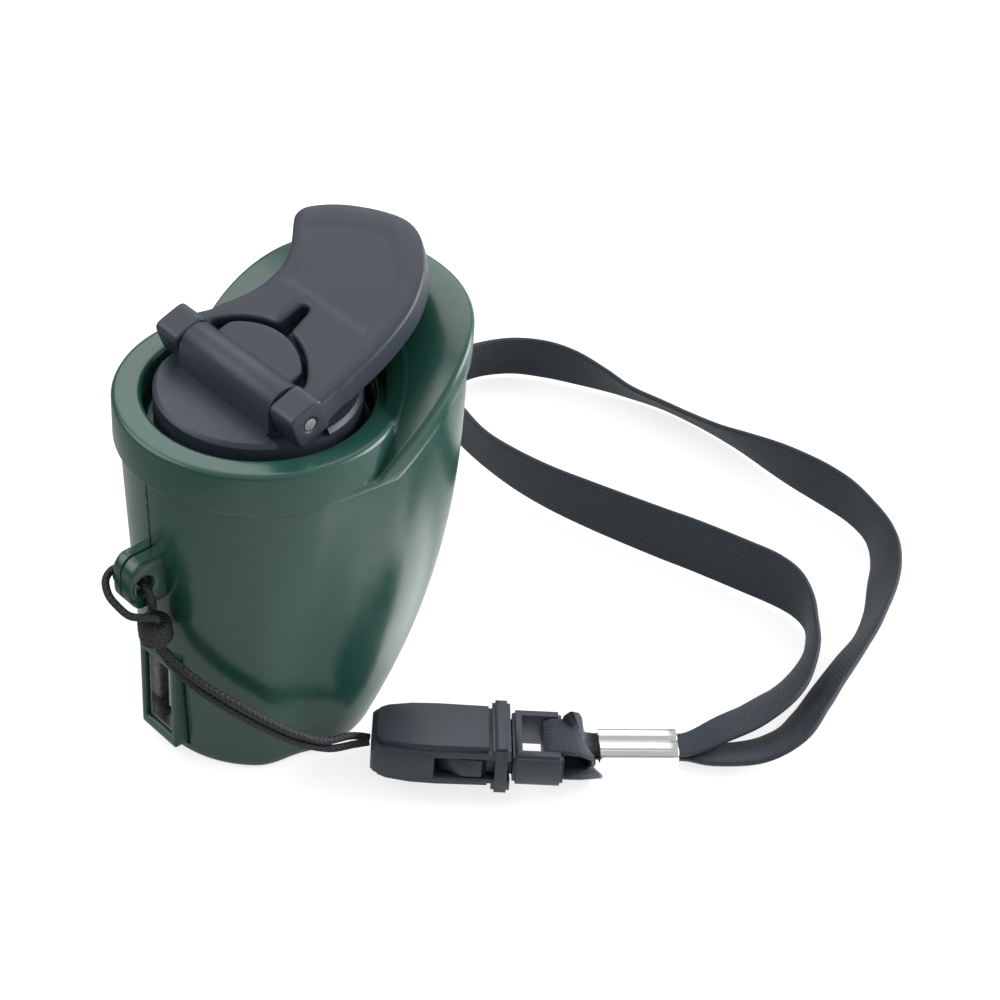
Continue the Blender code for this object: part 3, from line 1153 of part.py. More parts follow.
def strap_stations():
    """Middle, width direction and width of the strap all the way round its closed loop."""
    frame = buckle_matrix()
    across = frame.to_3x3() @ Vector((0, -1, 0))
    bar_middle = BUCKLE_LENGTH / 2 - BAR_LENGTH / 2
    rise = BAR_THICKNESS / 2 + TOUCH_GAP + STRAP_THICKNESS / 2
    reach = BAR_LENGTH / 2 + TOUCH_GAP + STRAP_THICKNESS / 2
    near = BUCKLE_LENGTH / 2 - BAR_LENGTH
    edge = BAR_THICKNESS / 2
    away = rise - edge
    loop = [(bar_middle + 2 * reach, rise)]
    loop += arc(away, math.pi / 2, math.pi, 4, centre=(near, edge))
    loop += arc(away, math.pi, 3 * math.pi / 2, 4, centre=(near, -edge))
    loop += [(bar_middle + 2 * reach, -rise)]
    bend = [(frame @ Vector((x, 0, z)), across, STRAP_WIDTH) for x, z in loop]
    turn = Matrix.Rotation(FERRULE_TURN, 3, "Z")
    along = turn @ Vector((1, 0, 0))
    side = turn @ Vector((0, -1, 0))
    narrow = STRAP_WIDTH * STRAP_NARROW_SHARE
    lift = (STRAP_THICKNESS + TOUCH_GAP) / 2
    ends = (-1, -1 / 3, 1 / 3, 1)
    inside = FERRULE_LENGTH / 2 + 2 * STRAP_THICKNESS
    upper = [(FERRULE_CENTRE + along * inside * k + UP * lift, side, narrow) for k in ends]
    lower = [(FERRULE_CENTRE + along * inside * k - UP * lift, side, narrow) for k in ends]

    def strand(rows, leans, widen):
        made = []
        for n, ((x, y, z), (lean_x, lean_y)) in enumerate(zip(rows, leans)):
            lean = Vector((lean_x, lean_y, math.sqrt(1 - lean_x ** 2 - lean_y ** 2)))
            width = STRAP_WIDTH
            if n + 1 < widen:
                width = narrow + (STRAP_WIDTH - narrow) * (n + 1) / widen
            middle = Vector((x, y, z)) * MM
            rest = lean.z * width / 2 + STRAP_THICKNESS / 2 + PIN_GAP
            middle.z = max(middle.z, rest)
            made.append((middle, lean, width))
        return made

    outer = strand(OUTER_STRAND, OUTER_LEAN_SHARES, 3)
    far = strand(FAR_BEND, FAR_LEAN_SHARES, 0)
    inner = strand(INNER_STRAND, INNER_LEAN_SHARES, 3)
    return bend + lower + outer + far + inner[::-1] + upper[::-1]


def build_strap(release):
    """The flat strap as one closed band, and the crimped ferrule round its two strands."""
    stations = strap_stations()
    count = len(stations)
    bm = bmesh.new()
    rings = []
    for n, (middle, lean, width) in enumerate(stations):
        along = (stations[(n + 1) % count][0] - stations[n - 1][0]).normalized()
        across = lean.normalized()
        out = along.cross(across).normalized()
        corners = []
        for a, b in ((-1, -1), (1, -1), (1, 1), (-1, 1)):
            place = middle + across * (a * width / 2) + out * (b * STRAP_THICKNESS / 2)
            corners.append(bm.verts.new(place))
        rings.append(corners)
    for n in range(count):
        here, there = rings[n], rings[(n + 1) % count]
        for k in range(4):
            m = (k + 1) % 4
            bm.faces.new((here[k], here[m], there[m], there[k]))
    bmesh.ops.triangulate(bm, faces=bm.faces)
    add("strap_webbing", bm, (DARK, 0.8), release)
    outer = rounded_section(FERRULE_WIDTH, FERRULE_THICKNESS, FERRULE_THICKNESS / 3)
    inner = rounded_section(FERRULE_WIDTH - 2 * FERRULE_WALL,
                            FERRULE_THICKNESS - 2 * FERRULE_WALL, FERRULE_THICKNESS / 4)
    half = FERRULE_LENGTH / 2
    ferrule = cut(prism_along_x(outer, -half, half), prism_along_x(inner, -LONG, LONG))
    bmesh.ops.rotate(ferrule, matrix=Matrix.Rotation(FERRULE_TURN, 3, "Z"), verts=ferrule.verts)
    bmesh.ops.translate(ferrule, vec=FERRULE_CENTRE, verts=ferrule.verts)
    add("strap_ferrule", ferrule, (STEEL, 0.2, 1.0), release)


def rounded_section(width, thickness, corner):
    """A rectangle with round corners, in Y and Z."""
    points = []
    across = width / 2 - corner
    up = thickness / 2 - corner
    for k, (y, z) in enumerate(((across, up), (-across, up), (-across, -up), (across, -up))):
        start = k * math.pi / 2
        points += arc(corner, start, start + math.pi / 2, 4, centre=(y, z))
    return points


def prism_along_x(points, low, high):
    """An outline in Y and Z, extruded from low to high along X."""
    bm = bmesh.new()
    face = bm.faces.new([bm.verts.new((low, y, z)) for y, z in points])
    grown = bmesh.ops.extrude_face_region(bm, geom=[face])
    tops = [v for v in grown["geom"] if isinstance(v, bmesh.types.BMVert)]
    bmesh.ops.translate(bm, vec=(high - low, 0, 0), verts=tops)
    return bm


clear_scene()
build_shell("body_shell_left", 1)
build_shell("body_shell_right", -1)
build_cover()
build_bezel()
build_usb()
build_board()
build_plate()
build_shell_screws()
crank = axis_empty("crank_axis", (0, 0, 0))
handle = axis_empty("handle_axis", (-HINGE_BACK, 0, RING_HEIGHT + HINGE_RISE),
                    (0, -HANDLE_PITCH, 0), crank)
knob = axis_empty("knob_axis", (KNOB_OUT, KNOB_SIDE, 0), parent=handle)
idler = axis_empty("idler_axis", (IDLER_X, 0, 0))
rotor = axis_empty("rotor_axis", (GENERATOR_X, 0, 0))
build_hub(crank)
build_hub_fittings(crank)
build_handle(handle)
build_knob(handle, knob)
build_gears(crank, idler, rotor)
build_generator(rotor)
build_leads()
build_cord()
buckle = axis_empty("buckle_frame", BUCKLE_CENTRE)
buckle.matrix_world = buckle_matrix()
build_buckle(buckle, buckle)
build_strap(None)
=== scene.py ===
"""A pocket hand crank generator with a folding crank, a USB port and a wrist lanyard.

Lengths are in millimetres until they go into a mesh. The crank turns about +Z at the origin,
-X is the end with the port and the lanyard's eye, and the strap lies on the floor.
"""

import math

import bmesh
import bpy
import numpy as np
from mathutils import Matrix, Vector
from mathutils.geometry import delaunay_2d_cdt


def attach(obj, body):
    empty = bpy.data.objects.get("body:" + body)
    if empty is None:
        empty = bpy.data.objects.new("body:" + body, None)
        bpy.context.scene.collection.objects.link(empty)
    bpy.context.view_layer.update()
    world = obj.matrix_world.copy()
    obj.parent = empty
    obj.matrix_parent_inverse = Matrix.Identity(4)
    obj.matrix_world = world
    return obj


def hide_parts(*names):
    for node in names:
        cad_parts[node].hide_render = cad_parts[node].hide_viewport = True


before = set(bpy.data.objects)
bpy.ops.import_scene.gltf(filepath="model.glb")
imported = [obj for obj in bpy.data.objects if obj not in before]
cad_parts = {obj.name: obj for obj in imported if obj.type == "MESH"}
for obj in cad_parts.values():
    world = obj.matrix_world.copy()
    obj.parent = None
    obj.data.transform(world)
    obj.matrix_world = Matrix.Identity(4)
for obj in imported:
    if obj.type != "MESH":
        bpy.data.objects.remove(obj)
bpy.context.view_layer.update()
MM = 0.001

# Camera: above the port's end of the generator, looking down at it with a long lens, as the
# photograph does.
CAMERA_PLACE = (-178.39, -222.81, 266.5)
CAMERA_UP = (0.390, 0.486, 0.7822)
CAMERA_BACK = (-0.5644, -0.545, 0.620)
LENS = 86.4


def link_new(name, data):
    """A new object of the given data, in the scene."""
    made = bpy.data.objects.new(name, data)
    bpy.context.collection.objects.link(made)
    return made


back = Vector(CAMERA_BACK).normalized()
right = Vector(CAMERA_UP).cross(back).normalized()
up = back.cross(right)
camera = link_new("camera", bpy.data.cameras.new("camera"))
camera.matrix_world = Matrix.Translation(Vector(CAMERA_PLACE) * MM) @ Matrix(
    (right, up, back)).transposed().to_4x4()
camera.data.lens = LENS
camera.data.clip_start = 0.01
bpy.context.scene.camera = camera
bpy.context.scene.view_settings.view_transform = "Standard"

# Floor and light: a white floor that keeps a faint contact shadow, a room that looks even white
# but lights from above and from the right, a broad lamp on the right and two behind.
FLOOR_HALF = 4000
FLOOR_DROP = 0.1
LIGHT_SIDE = (0.80, -0.55, 0.0)
POOL_CENTRE = (0.036, -0.044, 0.0)
FLOOR_WHITE, FLOOR_GLOW = 0.36, 0.76
FALL_SIDE = (0.5, -0.86, 0.0)
LAMPS = (
    ("lamp_right", (560, -330, 300), 460, 6.0),
    ("lamp_back_left", (-380, 440, 550), 560, 3.0),
    ("lamp_back", (330, 470, 560), 520, 1.6),
)


def wire(tree, *pairs):
    """Join each output socket to its input socket."""
    for start, end in pairs:
        tree.links.new(start, end)


def node(tree, kind, **values):
    """A new shader node, with its settings and inputs given by name; an underscore in an
    input's name stands for a space."""
    made = tree.nodes.new("ShaderNode" + kind)
    for key, value in values.items():
        if hasattr(made, key):
            setattr(made, key, value)
        else:
            made.inputs[key.replace("_", " ")].default_value = value
    return made


def math_node(tree, operation, *values):
    """A maths node whose inputs are sockets or numbers; returns its output."""
    made = node(tree, "Math", operation=operation)
    for n, value in enumerate(values):
        if isinstance(value, (int, float)):
            made.inputs[n].default_value = value
        else:
            tree.links.new(value, made.inputs[n])
    return made.outputs[0]


floor_look = bpy.data.materials.new("floor_white")
floor_look.use_nodes = True
tree = floor_look.node_tree
tree.nodes.clear()
ground = node(tree, "BsdfDiffuse", Color=(FLOOR_WHITE, FLOOR_WHITE, FLOOR_WHITE, 1))
glow = node(tree, "Emission")
seen = node(tree, "LightPath")
where = node(tree, "TexCoord")
# What gloss sees of the floor: darker away from the light's side, and a bright pool of light
# on the side that faces the buckle.
toward = node(tree, "VectorMath", operation="DOT_PRODUCT")
toward.inputs[1].default_value = FALL_SIDE
fall = node(tree, "MapRange", From_Min=-0.05, From_Max=0.03, To_Min=0.0, To_Max=0.62)
apart = node(tree, "VectorMath", operation="DISTANCE")
apart.inputs[1].default_value = POOL_CENTRE
pool = node(tree, "MapRange", interpolation_type="SMOOTHSTEP", From_Min=0.017, From_Max=0.034,
            To_Min=1.9, To_Max=0.0)
wire(tree, (where.outputs["Object"], toward.inputs[0]),
     (toward.outputs["Value"], fall.inputs["Value"]), (where.outputs["Object"], apart.inputs[0]),
     (apart.outputs["Value"], pool.inputs["Value"]))
glossy = math_node(tree, "MULTIPLY", seen.outputs["Is Glossy Ray"],
                   math_node(tree, "ADD", fall.outputs[0], pool.outputs[0]))
lit = math_node(tree, "MULTIPLY_ADD", seen.outputs["Is Camera Ray"], FLOOR_GLOW, glossy)
both = node(tree, "AddShader")
out = node(tree, "OutputMaterial")
wire(tree, (lit, glow.inputs["Strength"]), (ground.outputs[0], both.inputs[0]),
     (glow.outputs[0], both.inputs[1]), (both.outputs[0], out.inputs["Surface"]))
floor_mesh = bpy.data.meshes.new("floor")
floor_mesh.from_pydata([(x * FLOOR_HALF * MM, y * FLOOR_HALF * MM, -FLOOR_DROP * MM)
                        for x, y in ((-1, -1), (1, -1), (1, 1), (-1, 1))], [], [(0, 1, 2, 3)])
floor_mesh.materials.append(floor_look)
floor = link_new("floor", floor_mesh)

world = bpy.data.worlds.new("room")
bpy.context.scene.world = world
world.use_nodes = True
tree = world.node_tree
tree.nodes.clear()
seen = node(tree, "LightPath")
place = node(tree, "TexCoord")
split = node(tree, "SeparateXYZ")
toward = node(tree, "VectorMath", operation="DOT_PRODUCT")
toward.inputs[1].default_value = LIGHT_SIDE
side = node(tree, "MapRange", interpolation_type="SMOOTHSTEP", From_Min=-0.35, From_Max=0.75,
            To_Min=0.16, To_Max=1.35)
rise = node(tree, "MapRange", interpolation_type="SMOOTHSTEP", From_Min=0.05, From_Max=0.85,
            To_Min=0.0, To_Max=1.0)
sky = node(tree, "Mix", data_type="FLOAT")
sky.inputs["B"].default_value = 1.0
shown = node(tree, "Mix", data_type="FLOAT")
shown.inputs["B"].default_value = 1.0
room = node(tree, "Background")
out = node(tree, "OutputWorld")
wire(tree, (place.outputs["Generated"], split.inputs[0]),
     (place.outputs["Generated"], toward.inputs[0]),
     (toward.outputs["Value"], side.inputs["Value"]), (split.outputs["Z"], rise.inputs["Value"]),
     (rise.outputs[0], sky.inputs["Factor"]), (side.outputs[0], sky.inputs["A"]),
     (sky.outputs[0], shown.inputs["A"]),
     (seen.outputs["Is Camera Ray"], shown.inputs["Factor"]),
     (shown.outputs[0], room.inputs["Strength"]), (room.outputs[0], out.inputs["Surface"]))
for name, spot, size, energy in LAMPS:
    lamp = link_new(name, bpy.data.lights.new(name, "AREA"))
    lamp.data.size = size * MM
    lamp.data.energy = energy
    lamp.location = Vector(spot) * MM
    lamp.rotation_euler = Vector(spot).to_track_quat("Z", "Y").to_euler()

# Lanyard cord: thin braided cord from the buckle's socket, doubled up the housing's side,
# through the eye and back, drawn together by a whipped knot below the eye.
CORD_DIAMETER = 1.2
CORD_ROUTE = (
    (1.8, -24.8, 5.8), (-0.4, -23.7, 5.8), (-4.4, -22.6, 6.6), (-8.8, -20.6, 9.0),
    (-12.3, -18.4, 11.8), (-15.3, -15.8, 14.5), (-17.8, -12.8, 16.9), (-19.8, -9.5, 19.1),
    (-21.1, -6.4, 21.4), (-21.9, -4.0, 23.8), (-22.2, -2.9, 25.6), (-22.4, -2.8, 28.0),
    (-22.6, -2.8, 30.2), (-22.9, -3.5, 32.6), (-23.15, -3.7, 34.8), (-23.15, -2.6, 36.0),
    (-23.15, 0.0, 36.0), (-23.15, 2.6, 36.0), (-24.2, 3.9, 35.8), (-26.0, 3.4, 35.0),
    (-27.0, 1.4, 34.0), (-27.0, -0.8, 33.2), (-26.4, -2.9, 32.4), (-24.8, -4.4, 32.2),
    (-23.2, -4.9, 31.6), (-22.6, -4.3, 30.0), (-22.4, -4.2, 28.0), (-22.2, -4.3, 25.6),
    (-21.5, -6.0, 23.6), (-20.2, -9.2, 21.4), (-18.2, -12.3, 19.2), (-15.6, -15.3, 16.9),
    (-12.5, -18.3, 13.9), (-9.1, -20.6, 11.1), (-5.2, -22.3, 8.5), (-1.0, -22.9, 7.3),
    (1.3, -22.8, 5.9), (2.8, -23.8, 5.4),
)
KNOT_CENTRE = (-22.4, -3.55, 28.0)
KNOT_AXIS = (-0.09, 0.0, 1.0)
KNOT_RADIUS = 2.6
KNOT_HEIGHT = 4.4
CORD_BLACK = (0.011, 0.013, 0.017)


def new_group(name, **numbers):
    """A shader node group of one finish: it takes a colour and the given numbers, and gives a
    colour, a roughness and a height."""
    group = bpy.data.node_groups.new(name, "ShaderNodeTree")
    group.interface.new_socket("Color", in_out="INPUT", socket_type="NodeSocketColor")
    for label, default in numbers.items():
        made = group.interface.new_socket(label, in_out="INPUT", socket_type="NodeSocketFloat")
        made.default_value = default
    for label, kind in (("Color", "Color"), ("Roughness", "Float"), ("Height", "Float")):
        group.interface.new_socket(label, in_out="OUTPUT", socket_type="NodeSocket" + kind)
    return group, group.nodes.new("NodeGroupInput"), group.nodes.new("NodeGroupOutput")


def end_group(group, given, result, bright, rough, height):
    """What a finish's group gives: its colour times a brightness, its roughness and relief."""
    scaled = node(group, "VectorMath", operation="SCALE")
    wire(group, (given.outputs["Color"], scaled.inputs[0]), (bright, scaled.inputs["Scale"]),
         (scaled.outputs[0], result.inputs["Color"]), (rough, result.inputs["Roughness"]),
         (height, result.inputs["Height"]))


def noise(group, **values):
    """A noise that stays with the object, because it runs on the object's own coordinates."""
    made = node(group, "TexNoise", **values)
    wire(group, (node(group, "TexCoord").outputs["Object"], made.inputs["Vector"]))
    return made


# Braid: strands cross at a slant in the piece's own UV map, whose U runs round or across it
# and whose V runs along it, both in millimetres.
braid, given, result = new_group("braid", Pitch=1.0)
where = node(braid, "UVMap")
split = node(braid, "SeparateXYZ")
wire(braid, (where.outputs[0], split.inputs[0]))
u, v = split.outputs["X"], split.outputs["Y"]
turns = math_node(braid, "DIVIDE", math.tau, given.outputs["Pitch"])
slants = [math_node(braid, "MULTIPLY", math_node(braid, way, u, v), turns)
          for way in ("ADD", "SUBTRACT")]
top = math_node(braid, "MAXIMUM", *(math_node(braid, "SINE", slant) for slant in slants))
high = math_node(braid, "MULTIPLY", math_node(braid, "ADD", top, 1.0), 0.5)
fuzz = noise(braid, Scale=2600.0, Detail=3.0)
# Painted shade: the strands' colour is darker in the grooves between them and lighter where they
# stand high; the same height also drives the bump.
painted_groove_shade = math_node(braid, "MULTIPLY_ADD", high, 0.9, 0.35)
rough = math_node(braid, "MULTIPLY_ADD", fuzz.outputs["Fac"], 0.3, 0.5)
height = math_node(braid, "ADD", high, math_node(braid, "MULTIPLY", fuzz.outputs["Fac"], 0.5))
end_group(braid, given, result, painted_groove_shade, rough, height)


def new_look(name, base, roughness, group, bump_height, bump_strength=1.0, **values):
    """A material of one Principled shader that takes its colour, roughness and bump from a
    group. Named values go to the group and the shader, whichever has such an input."""
    look = bpy.data.materials.new(name)
    look.use_nodes = True
    tree = look.node_tree
    shader = tree.nodes["Principled BSDF"]
    placed = node(tree, "Group", node_tree=group)
    values |= {"Base_Color": (*base, 1), "Color": (*base, 1), "Roughness": roughness}
    for key, value in values.items():
        for target in (placed, shader):
            if key.replace("_", " ") in target.inputs:
                target.inputs[key.replace("_", " ")].default_value = value
    bump = node(tree, "Bump", Distance=bump_height * MM, Strength=bump_strength)
    wire(tree, (placed.outputs["Color"], shader.inputs["Base Color"]),
         (placed.outputs["Roughness"], shader.inputs["Roughness"]),
         (placed.outputs["Height"], bump.inputs["Height"]),
         (bump.outputs[0], shader.inputs["Normal"]))
    return look


cord_look = new_look("braided_cord", CORD_BLACK, 0.7, braid, 0.12, Pitch=0.94)


def full_turn(count):
    """Even angles once round."""
    return np.linspace(0, math.tau, count, endpoint=False)


def unit(rows):
    """Each row made one long."""
    return rows / np.linalg.norm(rows, axis=1)[:, None]


def run_along(points):
    """Length of a polyline up to each of its points, by their first three columns."""
    return np.concatenate([[0], np.cumsum(np.linalg.norm(np.diff(points[:, :3], axis=0), axis=1))])


def smooth_path(points, spacing):
    """A Catmull-Rom curve through the points at even steps of its length. Columns past the
    first three, such as a width, are carried along."""
    p = np.asarray(points, float)
    ends = np.vstack([2 * p[:1] - p[1:2], p, 2 * p[-1:] - p[-2:-1]])
    a, b, c, d = (ends[n:len(ends) - 3 + n, None, :] for n in range(4))
    t = np.linspace(0, 1, 32, endpoint=False)[None, :, None]
    fine = 0.5 * (2 * b + (c - a) * t + (2 * a - 5 * b + 4 * c - d) * t ** 2
                  + (3 * b - a - 3 * c + d) * t ** 3)
    fine = np.vstack([fine.reshape(-1, p.shape[1]), p[-1:]])
    run = run_along(fine)
    even = np.linspace(0, run[-1], round(run[-1] / spacing) + 1)
    return np.column_stack([np.interp(even, run, column) for column in fine.T])


def frames_along(path):
    """Two unit directions square to the path at each point, turned as little as possible."""
    along = unit(np.gradient(path, axis=0))
    side = np.empty_like(path)
    start = np.cross(along[0], (0.0, 0.0, 1.0))
    side[0] = start / np.linalg.norm(start)
    for n in range(1, len(path)):
        flat = side[n - 1] - along[n] * (side[n - 1] @ along[n])
        side[n] = flat / np.linalg.norm(flat)
    return side, np.cross(along, side)


MERGE_DISTANCE, FLAT_DISTANCE = 0.001, 0.0005


def close_mesh(mesh):
    """Merge the points that meet at seams and poles and turn the faces outward."""
    bm = bmesh.new()
    bm.from_mesh(mesh)
    bmesh.ops.remove_doubles(bm, verts=bm.verts, dist=MERGE_DISTANCE * MM)
    bmesh.ops.dissolve_degenerate(bm, dist=FLAT_DISTANCE * MM, edges=bm.edges)
    bmesh.ops.recalc_face_normals(bm, faces=bm.faces)
    if bm.calc_volume(signed=True) < 0:
        bmesh.ops.reverse_faces(bm, faces=bm.faces)
    bm.to_mesh(mesh)
    bm.free()


SHARP_ANGLE = math.radians(42)


def place_piece(name, mesh, body, look, replaced=()):
    """Link a finished mesh as a piece that rides on a body and takes a slot's finish."""
    mesh.name = name
    mesh.shade_smooth()
    mesh.set_sharp_from_angle(angle=SHARP_ANGLE)
    mesh.materials.append(look)
    piece = link_new(name, mesh)
    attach(piece, body)
    if replaced:
        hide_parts(*replaced)
    return piece


def grid_faces(rows, columns, close_rows, close_columns):
    """Corner numbers of a grid's four-sided faces, and their row and column places."""
    r, c = (k.ravel() for k in np.meshgrid(np.arange(rows if close_rows else rows - 1),
                                           np.arange(columns if close_columns else columns - 1),
                                           indexing="ij"))
    r4 = np.column_stack([r, r + 1, r + 1, r])
    c4 = np.column_stack([c, c, c + 1, c + 1])
    return (r4 % rows) * columns + c4 % columns, r4, c4


def surface(grid, close_rows=False, close_columns=False, steps=(1.0, 1.0), keep=None):
    """A mesh from a grid of points, rows by columns, in millimetres. Its UV map runs along the
    columns and rows in steps of the given lengths."""
    rows, columns = grid.shape[:2]
    faces, r4, c4 = grid_faces(rows, columns, close_rows, close_columns)
    if keep is not None:
        chosen = keep(r4[:, 0], c4[:, 0])
        faces, r4, c4 = faces[chosen], r4[chosen], c4[chosen]
    mesh = bpy.data.meshes.new("surface")
    mesh.from_pydata((grid.reshape(-1, 3) * MM).tolist(), [], faces.tolist())
    layer = mesh.uv_layers.new(name="run")
    spots = np.stack([c4 * steps[1], r4 * steps[0]], -1).astype(float)
    layer.data.foreach_set("uv", spots.ravel())
    close_mesh(mesh)
    return mesh


ROD_END = np.array([0.0, 0.45, 0.8, 0.96])[:, None, None]


def rod(path, radius, sides, spacing):
    """A round rod along a path with half-round ends: each ring is the path's point plus the
    radius round its two square directions, and the end rings close in on a pole."""
    side, over = frames_along(path)
    turn = full_turn(sides)[None, :, None]
    ring = side[:, None] * np.cos(turn) + over[:, None] * np.sin(turn)
    grid = path[:, None] + ring * radius
    start, end = (grid[n] * ROD_END + path[n] * (1 - ROD_END) for n in (0, -1))
    return surface(np.concatenate([start, grid, end[::-1]]), close_columns=True,
                   steps=(spacing, math.tau * radius / sides))


def around(reach, turn, height, side=1):
    """Points at a reach, a turn and a height about an upright axis; side -1 mirrors them."""
    return np.stack(np.broadcast_arrays(reach * np.cos(turn), side * reach * np.sin(turn),
                                        height), -1)


CORD_STEP, CORD_SIDES = 0.35, 14
cord_path = smooth_path(CORD_ROUTE, CORD_STEP)
cord_mesh = rod(cord_path, CORD_DIAMETER / 2, CORD_SIDES, CORD_STEP)
cord_piece = place_piece("lanyard_cord_braid", cord_mesh, "housing", cord_look,
                         ["lanyard_cord"])

# The knot is the same cord whipped four times round both strands, with rounded shoulders.
WRAPS, WRAP_RISE, KNOT_SHOULDER, SHOULDER_RISE = 4, 0.16, 0.42, 0.26
KNOT_SIDES, KNOT_ROWS, KNOT_STEPS = 72, 97, (0.05, 0.2)
lean = Vector((0, 0, 1)).rotation_difference(Vector(KNOT_AXIS).normalized()).to_matrix()
turn, share = np.meshgrid(full_turn(KNOT_SIDES), np.linspace(-1, 1, KNOT_ROWS),
                          indexing="ij")
ridge = WRAP_RISE * np.abs(np.cos(math.pi / 2 * (share * WRAPS - turn / math.pi)))
shoulder = SHOULDER_RISE * np.sqrt(np.clip(1 - np.abs(share) ** 6, 0, 1))
belly = ((KNOT_RADIUS - KNOT_SHOULDER) * (1 - np.abs(share) ** 9) ** 0.5 + shoulder
         + ridge * (1 - share ** 8))
grid = around(belly, turn, share * KNOT_HEIGHT / 2) @ np.array(lean).T + np.array(KNOT_CENTRE)
knot_piece = place_piece("knot_wraps", surface(grid.transpose(1, 0, 2), close_columns=True,
                                               steps=KNOT_STEPS),
                         "housing", cord_look, ["cord_knot"])

# Housing shells: two moulded halves of semi-gloss dark green plastic that meet on a seam a
# little to +Y of the middle plane and are screwed together. The port's window is in the near end.
RING_HEIGHT = 60.0
NEAR_BASE, NEAR_SPREAD = 17.7, 3.0
FAR_BASE, FAR_SPREAD = 17.3, 4.9
REACH_BASE, REACH_SPREAD = 18.6, 14.8
GROWTH_POWER, SPREAD_POWER = 2.6, 0.8
VALLEY_DEPTH, VALLEY_TURN, VALLEY_HALF, VALLEY_TOP = 1.3, 106.0, 24.0, 0.85
COVER_PROUD = 0.7
COLLAR_HEIGHT, DECK_COLLAR_HEIGHT = 7.0, 4.6
DECK_RISE, DECK_DROP, DECK_ARCH_LENGTH, DECK_FAR = 9.2, 5.6, 59.5, 34.1
SHELL_WALL = 1.8
SEAMS = {"right": (-1, 0.15), "left": (1, 0.45)}
WINDOW_LOW, WINDOW_HIGH, WINDOW_HALF = 1.95, 20.05, 4.65
GREEN = (0.013, 0.062, 0.047)


def body_radius(turn, height):
    """Reach of the housing's outside from the crank's axis: a circle round the axis and a
    larger, leaning circle at the far end, joined by straight flanks, less a shallow valley
    where the two lobes meet."""
    share = np.clip(height / RING_HEIGHT, 0, 1)
    growth = 1 - (1 - share) ** GROWTH_POWER
    near = NEAR_BASE + NEAR_SPREAD * share ** SPREAD_POWER
    far = FAR_BASE + FAR_SPREAD * growth
    step = REACH_BASE + REACH_SPREAD * growth - far
    side = np.abs((turn + math.pi) % math.tau - math.pi)
    tangent = np.arccos(np.clip((near - far) / np.maximum(step, 0.01), -1, 1))
    meet = np.arctan2(far * np.sin(tangent), step + far * np.cos(tangent))
    lobed = step > np.abs(near - far)
    flank = near / np.maximum(np.cos(side - tangent), 0.2)
    end = step * np.cos(side) + np.sqrt(np.maximum(far ** 2 - (step * np.sin(side)) ** 2, 0))
    radius = np.where(lobed & (side < meet), end, np.where(lobed & (side < tangent), flank, near))
    away = np.clip(np.abs(side - math.radians(VALLEY_TURN)) / math.radians(VALLEY_HALF), 0, 1)
    fade = np.clip((VALLEY_TOP - height / RING_HEIGHT) / VALLEY_TOP, 0, 1)
    return radius - VALLEY_DEPTH * np.cos(away * math.pi / 2) ** 2 * np.sin(fade * math.pi / 2)


def deck_height(x):
    """Height of the arched deck: a parabola along X that falls away from the far end."""
    return RING_HEIGHT + np.maximum(DECK_RISE - (DECK_FAR - x) ** 2 / DECK_ARCH_LENGTH, -DECK_DROP)


def cover_edge(turn):
    """Height of the collar's lower edge."""
    reach = (body_radius(turn, RING_HEIGHT) + COVER_PROUD) * np.cos(turn)
    return np.maximum(RING_HEIGHT - COLLAR_HEIGHT, deck_height(reach) - DECK_COLLAR_HEIGHT)


# Moulded plastic: slow changes of tone, fine grain in the gloss and a trace of orange peel.
moulded, given, result = new_group("moulded", Roughness=0.35, Tone=0.12, Grain=2400.0)
slow = noise(moulded, Scale=55.0, Detail=3.0, Roughness=0.55)
fine = noise(moulded, Detail=4.0, Roughness=0.6)
specks = noise(moulded, Scale=420.0, Detail=5.0, Roughness=0.7)
wire(moulded, (given.outputs["Grain"], fine.inputs["Scale"]))
swing = math_node(moulded, "MULTIPLY", math_node(moulded, "SUBTRACT", slow.outputs["Fac"], 0.5),
                  given.outputs["Tone"])
bright = math_node(moulded, "MULTIPLY_ADD", swing, 2.0, 1.0)
rough = math_node(moulded, "ADD", given.outputs["Roughness"], math_node(
    moulded, "MULTIPLY", math_node(moulded, "SUBTRACT", specks.outputs["Fac"], 0.5), 0.16))
end_group(moulded, given, result, bright, rough, fine.outputs["Fac"])

green_look = new_look("moulded_green", GREEN, 0.24, moulded, 0.012, 0.6, Tone=0.10,
                      Grain=2600.0)


def round_edges(piece, width, segments, angle):
    """Round the edges that turn by more than an angle in degrees."""
    bevel = piece.modifiers.new("edges", "BEVEL")
    bevel.width = width * MM
    bevel.segments = segments
    bevel.limit_method = "ANGLE"
    bevel.angle_limit = math.radians(angle)
    bevel.harden_normals = True


